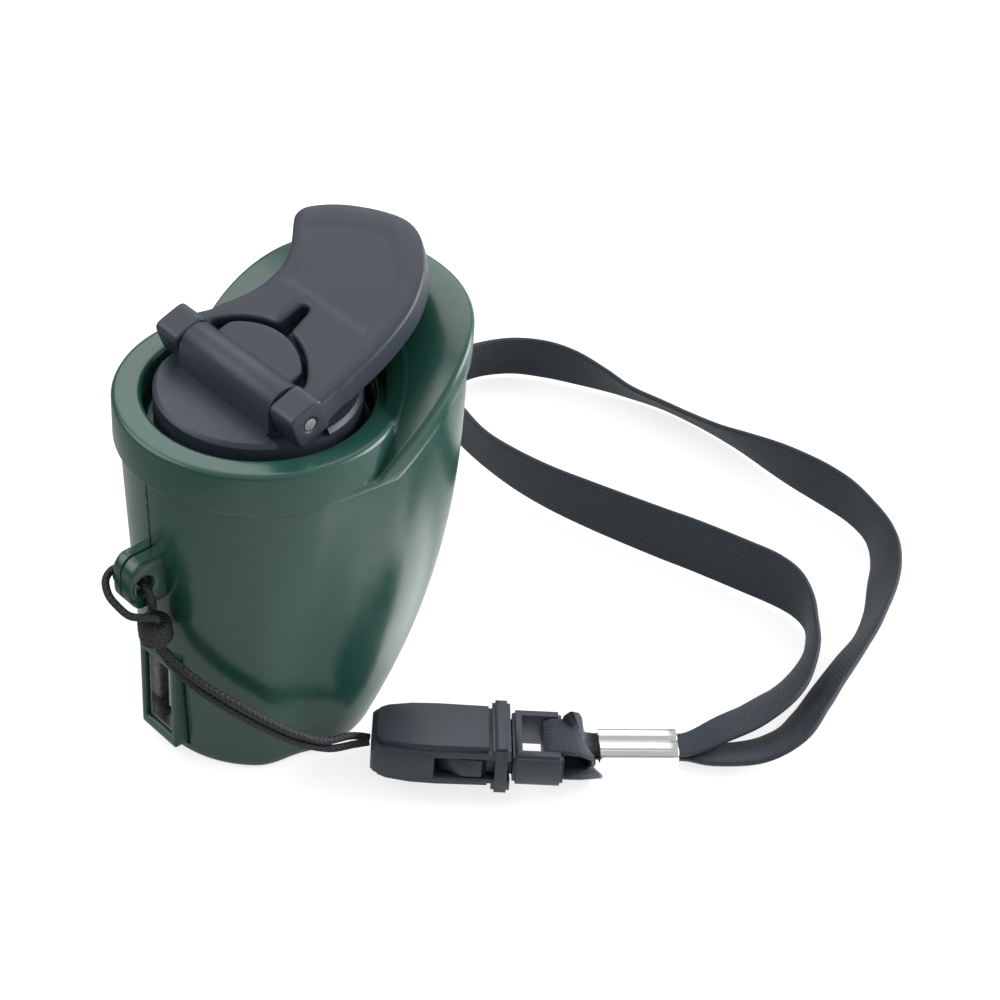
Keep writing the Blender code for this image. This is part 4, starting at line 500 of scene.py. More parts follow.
SHELL_COLUMNS = 150
WINDOW_COLUMNS, WINDOW_ROWS, UPPER_ROWS = 8, 15, 30
FOOT = np.array([0.0, 0.35, 0.65, 0.85, 0.94])
FOOT_ROUND, RIM_GAP, SHELL_EDGE, SHELL_EDGE_ANGLE = 0.8, 0.08, 0.22, 40
FOOT_TILTS = (0, 22.5, 45, 67.5)
SHELL_STEPS = (1.8, 0.7)
for half, (side, seam) in SEAMS.items():
    # Columns go from the port's end to the far end; rows from the middle of the base outward
    # and then up. The first and last columns lie on the seam plane.
    middle = np.linspace(WINDOW_LOW, WINDOW_HIGH, WINDOW_ROWS)[1:]
    levels = np.concatenate([[FOOT_ROUND, WINDOW_LOW], middle])
    upper = np.linspace(0, 1, UPPER_ROWS)[1:]
    share = np.linspace(0, 1, SHELL_COLUMNS - WINDOW_COLUMNS)[None, :]
    start = np.linspace(0, 1, WINDOW_COLUMNS, endpoint=False)[None, :]

    def directions(height):
        """Turns of one row's columns: even steps to the window's side, then to the far end."""
        near_end = body_radius(math.pi, height)
        first = math.pi - side * np.arcsin(seam / near_end)
        beside = math.pi - np.arcsin(WINDOW_HALF / near_end)
        last = side * np.arcsin(seam / body_radius(0.0, height))
        return np.concatenate([first + (beside - first) * start, beside + (last - beside) * share],
                              axis=1)

    rows = []
    base_turn = directions(np.array([[FOOT_ROUND]]))
    base_reach = body_radius(base_turn, 0.0) - FOOT_ROUND
    rim = around(base_reach, base_turn, 0.0, side)[0, :, :2]
    rim[[0, -1], 1] = seam
    for part in FOOT:
        flat = rim * part + np.array([0.0, seam]) * (1 - part)
        rows.append(np.column_stack([flat, np.zeros(len(flat))]))
    for tilt in np.radians(FOOT_TILTS):
        rows.append(around(base_reach + FOOT_ROUND * np.sin(tilt), base_turn,
                           FOOT_ROUND * (1 - np.cos(tilt)), side)[0])
    for height in levels:
        turns = directions(np.array([[height]]))
        rows.append(around(body_radius(turns, height), turns, height, side)[0])
    for part in upper:
        turns = directions(np.array([[WINDOW_HIGH + part * (RING_HEIGHT - WINDOW_HIGH)]]))
        height = WINDOW_HIGH + (cover_edge(turns) - RIM_GAP - WINDOW_HIGH) * part
        rows.append(around(body_radius(turns, height), turns, height, side)[0])
    grid = np.array(rows)
    grid[len(FOOT):, [0, -1], 1] = seam
    first_row = len(FOOT) + len(FOOT_TILTS) + 1
    last_row = first_row + len(middle)
    skin = surface(grid, steps=SHELL_STEPS, keep=lambda r, c: ~(
        (r >= first_row) & (r < last_row) & (c < WINDOW_COLUMNS)))
    shell = place_piece("shell_" + half, skin, "housing", green_look,
                        ["body_shell_" + half])
    solid = shell.modifiers.new("wall", "SOLIDIFY")
    solid.thickness = SHELL_WALL * MM
    solid.offset = -1
    round_edges(shell, SHELL_EDGE, 2, SHELL_EDGE_ANGLE)

# Top cover: one moulding with the crank's round well, a level ring round it, an arched deck
# over the far lobe and a collar that sits proud of the shells. A lip under it snaps inside them.
NEAR_TOP = NEAR_BASE + NEAR_SPREAD
WELL_RADIUS, WELL_DEPTH, WELL_FLOOR = 17.0, 6.0, 2.0
SWEEP_RADIUS, SWEEP_DRAFT = 18.4, 0.3
COVER_EDGE, COVER_WALL = 0.6, 2.2
LIP_DEPTH, LIP_WALL, PIN_GAP = 2.0, 1.2, 0.15
BUSH_HOLE = 4.15
COVER_COLUMNS, COVER_STEPS = 288, (0.7, 0.5)
FLOOR_RINGS, WALL_RING = (8.0, 12.0), 56.2
WELL_ROUND, RING_ROUND = 0.9, 0.8
COVER_CREASE, RING_EDGE, RING_INSET, EDGE_SOFT = 0.25, 0.22, 0.2, 0.3
COLLAR_SOFT, COLLAR_LOW = 0.1, 0.08

turn = full_turn(COVER_COLUMNS)
across = np.cos(turn)
outside = body_radius(turn, RING_HEIGHT) + COVER_PROUD
edge = cover_edge(turn)
ring = NEAR_TOP + COVER_PROUD
well_floor = RING_HEIGHT - WELL_DEPTH
width = outside - ring
wide = np.clip(width / (2 * COVER_EDGE), 0, 1)


def over_deck(radius):
    """The deck's height, or the ring's where that is higher."""
    return np.maximum(RING_HEIGHT, deck_height(radius * across))


def level_row(radius, height):
    """One row of the cover, from a radius and a height that may change with the turn."""
    return around(radius, turn, height)


rows = [level_row(BUSH_HOLE, well_floor)]
rows += [level_row(r, well_floor) for r in (*FLOOR_RINGS, WELL_RADIUS - WELL_ROUND)]
rows += [level_row(WELL_RADIUS - WELL_ROUND + WELL_ROUND * np.sin(a),
                   well_floor + WELL_ROUND * (1 - np.cos(a))) for a in np.radians([30, 60, 90])]
rows += [level_row(WELL_RADIUS, z) for z in (WALL_RING, RING_HEIGHT - RING_ROUND)]
rows += [level_row(WELL_RADIUS + RING_ROUND * (1 - np.cos(a)),
                   RING_HEIGHT - RING_ROUND + RING_ROUND * np.sin(a))
         for a in np.radians([25, 45, 65, 90])]
rows.append(level_row(SWEEP_RADIUS, RING_HEIGHT))
crest = SWEEP_RADIUS + SWEEP_DRAFT
brim = ring - COVER_EDGE
for part in (0.0, 0.2, 0.45, 0.7, 1.0):
    radius = crest + (brim - crest) * part
    soft = COVER_CREASE * np.clip(over_deck(crest) - RING_HEIGHT, 0, 1) * (1 - part) ** 6
    rows.append(level_row(radius, over_deck(radius) - soft))
foot, rim = deck_height(ring * across), deck_height(outside * across)
rows.append(level_row(ring - RING_INSET, np.maximum(RING_HEIGHT - RING_EDGE, foot)))
rows.append(level_row(ring, np.maximum(RING_HEIGHT - COVER_EDGE, foot)))
inset = np.minimum(COVER_EDGE, width / 2)
for part in np.linspace(0, 1, 16):
    radius = np.maximum(ring, ring + EDGE_SOFT * wide + (width - inset - EDGE_SOFT * wide) * part)
    flat = foot - COVER_EDGE / 2 * part
    rows.append(level_row(radius, wide * deck_height(radius * across) + (1 - wide) * flat))
rows += [level_row(outside - inset * (1 - np.sin(a)),
                   rows[-1][:, 2] * np.cos(a) ** 2 + (rim - COVER_EDGE) * np.sin(a) ** 2)
         for a in np.radians([22.5, 45, 67.5, 90])]
rows += [level_row(outside, rim - COVER_EDGE + (edge + EDGE_SOFT - rim + COVER_EDGE) * part)
         for part in (0.3, 0.65, 1.0)]
rows += [level_row(outside - COLLAR_SOFT, edge + COLLAR_LOW), level_row(outside - EDGE_SOFT, edge)]
lip = body_radius(turn, edge) - SHELL_WALL - PIN_GAP
inner = lip - LIP_WALL
rows += [level_row(lip, edge), level_row(lip, edge - LIP_DEPTH),
         level_row(inner, edge - LIP_DEPTH)]
under = well_floor - WELL_FLOOR
wall = np.minimum(WELL_RADIUS + SHELL_WALL, inner)
hollow = np.clip((inner - wall) / COVER_WALL, 0, 1)
start = edge - LIP_DEPTH
for part, radius in ((1 / 3, inner), (2 / 3, wall)):
    flat = start + (under - start) * part
    rows.append(level_row(radius, hollow * (deck_height(radius * across) - COVER_WALL)
                          + (1 - hollow) * flat))
rows += [level_row(wall, under), level_row(BUSH_HOLE, under)]
place_piece("cover_moulding", surface(np.array(rows), close_rows=True, close_columns=True,
                                      steps=COVER_STEPS),
            "housing", green_look, ["top_cover"])

# Lanyard eye: a rounded lug with a cross hole, half of it on each shell, with the seam
# between. It is moulded in one with the shells.
EYE_HEIGHT, EYE_REACH, EYE_ROOT, EYE_HOLE_X, EYE_HOLE = 36.0, 25.5, 18.2, -23.15, 1.5
EYE_RISE, EYE_NOSE, EYE_HALF_WIDTH = 4.2, 2.6, 2.5
EYE_TOP_SHOULDER, EYE_LOW_SHOULDER = 24.0, 24.3
EYE_ROLL, SEAM_ROLL = 0.75, 0.12
EYE_STEP, EYE_SWEEPS, EYE_CELL, EYE_SIDES = 0.3, 7, 0.9, 36


def even_loop(points, spacing):
    """A closed polyline at even steps of its length."""
    p = np.vstack([points, points[:1]])
    run = run_along(p)
    even = np.linspace(0, run[-1], round(run[-1] / spacing), endpoint=False)
    return np.column_stack([np.interp(even, run, column) for column in p.T])


def round_loop(points, spacing, sweeps):
    """A closed loop at even steps, with its corners worn round by repeated averaging."""
    loop = even_loop(np.asarray(points, float), spacing)
    for _ in range(sweeps):
        loop = (np.roll(loop, 1, axis=0) + 2 * loop + np.roll(loop, -1, axis=0)) / 4
    return loop


def shrink_loop(loop, by):
    """The loop moved inward by a distance, along the normals of its points."""
    along = unit(np.roll(loop, -1, axis=0) - np.roll(loop, 1, axis=0))
    area = np.sum(loop[:, 0] * np.roll(loop[:, 1], -1) - loop[:, 1] * np.roll(loop[:, 0], -1))
    inward = np.column_stack([-along[:, 1], along[:, 0]]) * np.sign(area)
    return loop + inward * by


def inside(points, loop):
    """Whether each point lies in the loop, by counting the loop's sides that it has above it."""
    x, y = points[:, :1], points[:, 1:]
    x1, y1 = loop.T
    x2, y2 = np.roll(loop, -1, axis=0).T
    crosses = (y1 > y) != (y2 > y)
    with np.errstate(divide="ignore", invalid="ignore"):
        at = x1 + (y - y1) * (x2 - x1) / (y2 - y1)
    return np.sum(crosses & (x < at), axis=1) % 2 == 1


def loop_distance(points, loop):
    """Distance of each point from the nearest side of the loop."""
    a = loop[None]
    b = np.roll(loop, -1, axis=0)[None]
    p = points[:, None]
    t = np.clip(np.sum((p - a) * (b - a), -1) / np.sum((b - a) ** 2, -1), 0, 1)
    return np.min(np.linalg.norm(p - a - (b - a) * t[..., None], axis=-1), axis=1)


def cap(loops, cell):
    """Flat triangles that fill the first loop and leave out the others, with a grid of points
    between them; returns the points and the triangles."""
    low, high = loops[0].min(0), loops[0].max(0)
    gx, gy = np.meshgrid(np.arange(low[0], high[0], cell), np.arange(low[1], high[1], cell))
    spots = np.column_stack([gx.ravel(), gy.ravel()])
    good = inside(spots, loops[0]) & (loop_distance(spots, loops[0]) > 0.45 * cell)
    for hole in loops[1:]:
        good &= ~inside(spots, hole) & (loop_distance(spots, hole) > 0.45 * cell)
    points = np.vstack([*loops, spots[good]])
    edges, first = [], 0
    for loop in loops:
        n = len(loop)
        edges += [(first + k, first + (k + 1) % n) for k in range(n)]
        first += n
    made = delaunay_2d_cdt([Vector(p) for p in points], edges, [], 0, 1e-6)
    points = np.array([tuple(p) for p in made[0]])
    faces = np.array(made[2])
    middle = points[faces].mean(1)
    chosen = inside(middle, loops[0])
    for hole in loops[1:]:
        chosen &= ~inside(middle, hole)
    return points, faces[chosen]


def plate(loops, low, high, roll, cell, to_space, low_roll=None):
    """A plate whose outline and holes are loops in its plane. Each side is a strip that rolls
    over into the two faces on quarter circles; low and high give the faces' heights at points
    of the plane, and to_space carries (u, v, height) into place."""
    steps = np.radians([0, 18, 36, 54, 72, 90])
    low_roll = roll if low_roll is None else low_roll
    blocks, faces, count = [], [], 0
    tops, bottoms = [], []
    for n, loop in enumerate(loops):
        sign = 1 if n == 0 else -1
        strip = []
        for face, rise, turns in ((low, low_roll, steps), (high, -roll, steps[::-1])):
            for a in turns:
                moved = shrink_loop(loop, sign * abs(rise) * (1 - np.sin(a)))
                strip.append(np.column_stack([moved, face(moved) + rise * (1 - np.cos(a))]))
        strip = np.array(strip)
        corners = grid_faces(*strip.shape[:2], False, True)[0]
        blocks.append(strip.reshape(-1, 3))
        faces += (corners + count).tolist()
        count += len(blocks[-1])
        tops.append(strip[-1, :, :2])
        bottoms.append(strip[0, :, :2])
    for edge_loops, height in ((tops, high), (bottoms, low)):
        points, triangles = cap(edge_loops, cell)
        blocks.append(np.column_stack([points, height(points)]))
        faces += (triangles + count).tolist()
        count += len(points)
    spots = to_space(np.vstack(blocks))
    mesh = bpy.data.meshes.new("plate")
    mesh.from_pydata((spots * MM).tolist(), [], faces)
    close_mesh(mesh)
    return mesh


def keep_flat(piece):
    """Shade broad faces flat up to their rolled edges."""
    weighted = piece.modifiers.new("broad_faces", "WEIGHTED_NORMAL")
    weighted.keep_sharp = True


def level(height):
    """A flat face's height at any point of a plate's plane."""
    return lambda points: np.full(len(points), float(height))


lug = round_loop([(-EYE_ROOT, EYE_RISE), (-EYE_ROOT, -EYE_RISE), (-EYE_LOW_SHOULDER, -EYE_RISE),
                  (-EYE_REACH, -EYE_NOSE), (-EYE_REACH, EYE_NOSE), (-EYE_TOP_SHOULDER, EYE_RISE)],
                 EYE_STEP, EYE_SWEEPS)
bore = around(EYE_HOLE, full_turn(EYE_SIDES), 0.0)[:, :2]
bore += (EYE_HOLE_X, 0)
for half, (side, seam) in SEAMS.items():
    def lug_space(points, side=side):
        """The lug's outline lies in the plane of X and Z, its thickness along Y."""
        return np.column_stack([points[:, 0], side * points[:, 2], points[:, 1] + EYE_HEIGHT])

    mesh = plate([lug, bore], level(side * seam), level(EYE_HALF_WIDTH), EYE_ROLL, EYE_CELL,
                 lug_space, low_roll=SEAM_ROLL)
    keep_flat(place_piece("eye_" + half, mesh, "housing", green_look,
                          ["body_shell_" + half]))

# Screws of the shells sit deep in moulded wells on the +Y side; each well is a round cup that
# runs from just under the wall's outside to the screw's seat.
SCREWS = ((-13.0, 31.0), (22.0, 33.0), (15.5, 8.0))
SCREW_SEAT, SCREW_START, SCREW_BORE, WELL_BORE, WELL_WRAP = 5.0, 0.6, 0.85, 2.2, 2.75
MOUTH_DEPTH, WELL_SIDES = 0.9, 48
DRILL_START, DRILL_END = 6.0, 30.0
SEARCH_REACH, SEARCH_ROUNDS = 40.0, 40


def wall_reach(x, z):
    """How far along Y the housing's outside lies over each place, found by halving."""
    low, high = np.zeros_like(x), np.full_like(x, SEARCH_REACH)
    for _ in range(SEARCH_ROUNDS):
        tried = (low + high) / 2
        within = np.hypot(x, tried) < body_radius(np.arctan2(tried, x), z)
        low, high = np.where(within, tried, low), np.where(within, high, tried)
    return low


left_shell = bpy.data.objects["shell_left"]
cutters = []
turn = full_turn(WELL_SIDES)
for n, (x, z) in enumerate(SCREWS, 1):

    def ring_at(radius, y=None, depth=0.0):
        """A ring round the screw, at one place along Y or at a depth below the wall's outside."""
        ring = np.stack([x + radius * np.cos(turn), 0 * turn, z + radius * np.sin(turn)], -1)
        ring[:, 1] = wall_reach(ring[:, 0], ring[:, 2]) - depth if y is None else y
        return ring

    well = np.array([ring_at(SCREW_BORE, SCREW_SEAT), ring_at(WELL_BORE, SCREW_SEAT),
                     ring_at(WELL_BORE, depth=MOUTH_DEPTH), ring_at(WELL_WRAP, depth=MOUTH_DEPTH),
                     ring_at(WELL_WRAP, SCREW_START), ring_at(SCREW_BORE, SCREW_START)])
    place_piece(f"screw_well_{n}", surface(well, close_rows=True, close_columns=True), "housing",
                green_look, ["body_shell_left"])
    plug = np.array([ring_at(r, y) for r, y in (
        (0.0, DRILL_START), (WELL_BORE, DRILL_START), (WELL_BORE, DRILL_END), (0.0, DRILL_END))])
    cutter = link_new(f"screw_cutter_{n}", surface(plug, close_columns=True))
    drill = left_shell.modifiers.new(f"screw_hole_{n}", "BOOLEAN")
    drill.object = cutter
    drill.solver = "EXACT"
    cutters.append(cutter)
bpy.context.view_layer.update()
evaluated = left_shell.evaluated_get(bpy.context.evaluated_depsgraph_get())
drilled = bpy.data.meshes.new_from_object(evaluated)
left_shell.modifiers.clear()
left_shell.data = drilled
drilled.set_sharp_from_angle(angle=SHARP_ANGLE)
for cutter in cutters:
    bpy.data.objects.remove(cutter)

# Crank parts: satin dark blue-grey plastic. It is one look for the hub, the handle with its
# knuckles, the boss behind the barrel and the knob.
CRANK = (0.023, 0.030, 0.043)
crank_look = new_look("crank_plastic", CRANK, 0.44, moulded, 0.012, 0.6, Tone=0.10, Grain=3000.0,
                      Specular_IOR_Level=0.42)

# Folding handle: a moulded plate that narrows to a bent paddle, with rolled edges and a shallow
# dish on top and a deep pocket below; its fork straddles the hinge barrel.
HANDLE_LENGTH = 34.0
HANDLE_PITCH = math.radians(20)
HINGE = (-3.3, 64.0)
HANDLE_TOP, HANDLE_BOTTOM, HANDLE_WEB = 1.6, 2.6, 1.2
HANDLE_ROOT, HANDLE_START = 3.9, 0.6
KNUCKLE_INNER, KNUCKLE_OUTER, KNUCKLE_HALF = 10.6, 15.8, 3.0
CUTOUT_RADIUS, CUTOUT_CENTRE = 13.0, -3.8
BOSS_RADIUS, BOSS_CENTRE, BOSS_TOP, BOSS_GAP = 8.4, 3.51, 1.25, 0.75
SLOT_HALF, SLOT_END, SLOT_SIDE = 1.0, 14.2, 0.7
HANDLE_ROLL, HANDLE_CELL, HANDLE_SKIN = 0.5, 0.4, 0.5
DISH_DEPTH, DISH_REACH, EDGE_FALL, EDGE_REACH, POCKET_REACH = 0.16, 1.6, 0.3, 2.2, 2.0
OUTLINE_START, OUTLINE_GROWTH, ROOT_SHARE = 5.6, 0.3, 0.462
OUTLINE_STEP, OUTLINE_SWEEPS, DISH_STEP, DISH_SWEEPS = 0.36, 3, 0.4, 12
BOSS_HEIGHT, BOSS_CLEAR, BOSS_FADE = 0.75, 1.6, 0.8
HANDLE_OUTLINE = (
    (0.194, -0.440), (0.294, -0.432), (0.412, -0.424), (0.560, -0.398), (0.705, -0.350),
    (0.842, -0.262), (0.925, -0.172), (0.988, -0.082), (1.017, 0.010), (1.012, 0.100),
    (0.970, 0.235), (0.902, 0.370), (0.815, 0.470), (0.760, 0.482), (0.728, 0.462),
    (0.632, 0.368), (0.544, 0.306), (0.470, 0.284), (0.353, 0.284), (0.235, 0.324),
    (0.132, 0.385),
)
DISH_OUTLINE = (
    (0.440, -0.335), (0.560, -0.322), (0.682, -0.282), (0.794, -0.205), (0.865, -0.120),
    (0.925, -0.030), (0.950, 0.045), (0.905, 0.180), (0.835, 0.305), (0.765, 0.410),
    (0.735, 0.415), (0.650, 0.325), (0.555, 0.255), (0.440, 0.235),
)


def handle_space(points):
    """From the handle's own plane, along it, across it and up from it, to the part's frame."""
    u, v, w = points.T
    return np.column_stack([HINGE[0] + u * np.cos(HANDLE_PITCH) - w * np.sin(HANDLE_PITCH), v,
                            HINGE[1] + u * np.sin(HANDLE_PITCH) + w * np.cos(HANDLE_PITCH)])


outer = smooth_path(np.column_stack([np.array(HANDLE_OUTLINE) * HANDLE_LENGTH,
                                     np.zeros(len(HANDLE_OUTLINE))]), DISH_STEP)[:, :2]
outer = shrink_loop(outer[outer[:, 0] > OUTLINE_START], -OUTLINE_GROWTH)
lean = np.arcsin(SLOT_HALF / CUTOUT_RADIUS)
rest = np.arccos((HANDLE_ROOT - CUTOUT_CENTRE) / CUTOUT_RADIUS)
down = np.linspace(rest, lean, 40)
slot_turn = np.linspace(math.pi / 2, -math.pi / 2, 13)
cutout = [(CUTOUT_CENTRE + CUTOUT_RADIUS * np.cos(a), CUTOUT_RADIUS * np.sin(a))
          for a in down if CUTOUT_RADIUS * np.sin(a) > SLOT_SIDE + SLOT_HALF]
cutout += [(SLOT_END - SLOT_HALF + SLOT_HALF * np.cos(a), SLOT_SIDE + SLOT_HALF * np.sin(a))
           for a in slot_turn]
cutout += [(CUTOUT_CENTRE + CUTOUT_RADIUS * np.cos(a), -CUTOUT_RADIUS * np.sin(a))
           for a in down[::-1] if CUTOUT_RADIUS * np.sin(a) > SLOT_HALF - SLOT_SIDE]
root_side = [(HANDLE_ROOT, KNUCKLE_INNER), (HANDLE_START, KNUCKLE_INNER),
             (HANDLE_START, ROOT_SHARE * HANDLE_LENGTH)]
outline = [(u, -v) for u, v in root_side] + [*outer] + root_side[::-1] + cutout
outline = round_loop(np.array(outline), OUTLINE_STEP, OUTLINE_SWEEPS)
dish = round_loop(np.array(DISH_OUTLINE) * HANDLE_LENGTH, DISH_STEP, DISH_SWEEPS)


def dish_depth(points, loop, reach):
    """How far into a recess each point is: 0 outside, smoothly 1 from the reach inward."""
    depth = np.clip(loop_distance(points, loop) / reach, 0, 1) * inside(points, loop)
    return depth * depth * (3 - 2 * depth)


def handle_high(points):
    """The top: level, with a shallow dish, and rounded off where it nears its outline."""
    rolled = np.clip(1 - loop_distance(points, outline) / EDGE_REACH, 0, 1)
    return HANDLE_TOP - DISH_DEPTH * dish_depth(points, dish, DISH_REACH) - EDGE_FALL * rolled ** 2


def handle_low(points):
    """The underside: a skirt all round, a pocket up to the web, and room for the hub's boss."""
    pocket = HANDLE_TOP - HANDLE_SKIN - HANDLE_WEB + HANDLE_BOTTOM
    skirt = -HANDLE_BOTTOM + pocket * dish_depth(points, dish, POCKET_REACH)
    clear = (BOSS_HEIGHT - points[:, 0] * np.sin(HANDLE_PITCH)) / np.cos(HANDLE_PITCH)
    reach = np.hypot(points[:, 0] - BOSS_CENTRE, points[:, 1])
    over = np.clip((BOSS_RADIUS + BOSS_CLEAR - reach) / BOSS_FADE, 0, 1)
    return np.maximum(skirt, skirt * (1 - over) + clear * over)


mesh = plate([outline], handle_low, handle_high, HANDLE_ROLL, HANDLE_CELL, handle_space)
keep_flat(place_piece("handle_moulding", mesh, "handle", crank_look,
                      ["crank_handle"]))

# The fork's two knuckles are rounded blocks on the hinge pin, one at each end of the barrel.
PIN_BORE, PIN_SIDES, KNUCKLE_ROLL = 1.05, 28, 0.45
KNUCKLE_STEP, KNUCKLE_SWEEPS, KNUCKLE_CELL = 0.2, 40, 1.2
corner = np.array([(1, 1), (-1, 1), (-1, -1), (1, -1)]) * KNUCKLE_HALF
eye = around(PIN_BORE, full_turn(PIN_SIDES), 0.0)[:, :2]
block = round_loop(corner, KNUCKLE_STEP, KNUCKLE_SWEEPS)
block *= KNUCKLE_HALF / np.abs(block).max()


def knuckle_space(points):
    """The block's outline lies in the plane square to the pin."""
    return handle_space(points[:, [0, 2, 1]])


for side, name in ((-1, "knuckle_right"), (1, "knuckle_left")):
    ends = sorted((side * KNUCKLE_INNER, side * KNUCKLE_OUTER))
    knuckle = plate([block, eye], level(ends[0]), level(ends[1]), KNUCKLE_ROLL, KNUCKLE_CELL,
                    knuckle_space)
    keep_flat(place_piece(name, knuckle, "handle", crank_look, ["crank_handle"]))

# The boss behind the barrel stands on the hub, level with the handle round it when the handle
# is down, so only a narrow gap shows between them. It is moulded in one with the hub.
CROWN_SEAT, CROWN_THIN, CROWN_SUNK, CROWN_FRONT = 0.8, 0.8, 0.9, 0.4
CROWN_ROLL, CROWN_LOW_ROLL, CROWN_STEP, CROWN_SWEEPS, CROWN_CELL = 0.35, 0.05, 0.35, 3, 0.9
turn = np.linspace(-math.pi / 2, math.pi / 2, 80)
crown_side = BOSS_RADIUS * np.sin(turn)
crown_far = CUTOUT_CENTRE + np.sqrt((CUTOUT_RADIUS - BOSS_GAP) ** 2 - crown_side ** 2)
crown_loop = np.column_stack([np.minimum(BOSS_CENTRE + BOSS_RADIUS * np.cos(turn), crown_far),
                              crown_side])
crown_front = [(CROWN_FRONT, BOSS_RADIUS), (CROWN_FRONT, -BOSS_RADIUS)]
crown_loop = round_loop(np.vstack([crown_loop, crown_front]), CROWN_STEP, CROWN_SWEEPS)


def crown_low(points):
    """The crown's underside, level with the hub's boss however the handle's plane tilts."""
    drop = CROWN_SEAT - points[:, 0] * np.sin(HANDLE_PITCH)
    return np.minimum(drop / np.cos(HANDLE_PITCH), BOSS_TOP - CROWN_THIN) - CROWN_SUNK


mesh = plate([crown_loop], crown_low, level(BOSS_TOP), CROWN_ROLL, CROWN_CELL, handle_space,
             low_roll=CROWN_LOW_ROLL)
place_piece("boss_crown", mesh, "crank", crank_look)

# Wrist strap: one closed band of flat woven tape that turns round the buckle's bar, passes
# the ferrule folded narrow and makes a loose loop on the floor, standing on its edge.
STRAP_WIDTH, STRAP_THICKNESS = 10.0, 0.9
STRAP_NARROW = 5.0
BUCKLE_CENTRE, BUCKLE_TURN, BUCKLE_ROLL = (13.3, -34.7, 5.6), -43.4, 13.0
BAR_MIDDLE, BAR_EDGE, BAR_RISE, BAR_REACH, BAR_HALF = 13.8, 1.3, 2.05, 1.75, 1.0
PASS_GAP, FLOOR_GAP = 0.3, 0.02
STRAP_STEP, STRAP_FINE, STRAP_ACROSS, JOIN_SPAN = 0.9, 0.2, 0.75, 80
EDGE_POINTS, FLAT_POINTS = 6, 14
FERRULE_CENTRE, FERRULE_TURN = (36.3, -49.8, 2.1), -40.0
FERRULE_LENGTH, FERRULE_WIDTH, FERRULE_THICKNESS, FERRULE_WALL = 12.6, 6.8, 3.6, 0.4
# Middle of the strap, then how far its upper edge leans along X and Y.
OUTER_STRAND = (
    (45.0, -58.6, 1.6, -0.62, -0.74), (50.2, -62.6, 1.9, -0.60, -0.72),
    (56.0, -64.4, 2.4, -0.54, -0.69), (62.4, -63.2, 3.2, -0.50, -0.66),
    (69.0, -61.2, 3.6, -0.48, -0.64), (77.7, -58.6, 3.8, -0.50, -0.60),
    (85.0, -56.4, 4.0, -0.46, -0.55), (91.8, -53.2, 4.0, -0.38, -0.60),
    (97.4, -49.4, 4.0, -0.30, -0.66), (102.4, -45.0, 4.3, -0.27, -0.60),
    (106.0, -39.8, 4.7, -0.22, -0.40), (107.6, -33.6, 5.4, -0.12, -0.08),
    (107.8, -27.2, 5.4, -0.10, 0.02), (107.2, -20.0, 5.3, -0.17, -0.18),
    (106.7, -12.0, 4.8, -0.34, -0.42), (106.1, -4.4, 4.2, -0.52, -0.45),
    (105.4, 2.6, 3.9, -0.58, -0.47), (104.2, 9.6, 3.9, -0.58, -0.48),
    (102.2, 16.0, 4.1, -0.54, -0.45), (100.4, 21.4, 4.6, -0.42, -0.32),
    (98.2, 27.2, 5.2, -0.26, -0.17), (95.4, 32.6, 5.4, -0.18, -0.12),
    (91.0, 37.6, 5.4, -0.20, -0.15), (84.6, 40.6, 5.4, -0.20, -0.20),
)
FAR_BEND = ((78.2, 40.4, 5.4, -0.12, -0.18), (73.0, 36.8, 5.4, -0.12, -0.16))
INNER_STRAND = (
    (48.6, -56.6, 3.4, -0.62, -0.76), (54.6, -57.6, 3.6, -0.60, -0.72),
    (60.6, -57.6, 3.9, -0.56, -0.68), (66.0, -56.6, 4.1, -0.52, -0.62),
    (71.4, -54.4, 4.4, -0.46, -0.52), (75.6, -51.6, 4.9, -0.36, -0.34),
    (79.2, -48.0, 5.3, -0.20, -0.14), (81.0, -43.6, 5.4, 0.00, 0.02),
    (81.0, -38.6, 5.4, 0.13, 0.10), (79.6, -33.0, 5.4, 0.15, 0.10),
    (77.1, -24.3, 5.4, 0.14, 0.12), (74.9, -18.0, 5.4, 0.12, 0.08),
    (72.8, -11.6, 5.4, 0.08, 0.06), (70.5, -4.0, 5.4, 0.00, 0.10),
    (68.5, 3.6, 5.4, -0.08, 0.05), (67.4, 11.3, 5.4, -0.15, 0.06),
    (67.3, 18.7, 5.4, -0.20, -0.03), (68.6, 26.3, 5.4, -0.16, -0.16),
    (70.2, 32.0, 5.4, -0.14, -0.18),
)
WEBBING = (0.012, 0.019, 0.029)
webbing_look = new_look("woven_tape", WEBBING, 0.75, braid, 0.06, Pitch=1.1)

buckle_pose = np.array(Matrix.Rotation(math.radians(BUCKLE_TURN), 3, "Z")
                       @ Matrix.Rotation(-math.radians(BUCKLE_ROLL), 3, "X"))
ferrule_pose = np.array(Matrix.Rotation(math.radians(FERRULE_TURN), 3, "Z"))


def strand(rows, widening):
    """Stations of a free strand: middle, the width's direction and the width, which grows
    from the ferrule over a count, or is full from the start at 0; the lower edge keeps off
    the floor."""
    rows = np.array(rows)
    lean = np.column_stack([rows[:, 3:], np.sqrt(1 - np.sum(rows[:, 3:] ** 2, axis=1))])
    grown = np.minimum((np.arange(len(rows)) + 1) / widening, 1) if widening else 1.0
    width = STRAP_NARROW + (STRAP_WIDTH - STRAP_NARROW) * grown * np.ones(len(rows))
    height = np.maximum(rows[:, 2], lean[:, 2] * width / 2 + STRAP_THICKNESS / 2 + PIN_GAP)
    return np.column_stack([rows[:, :2], height, lean, width])


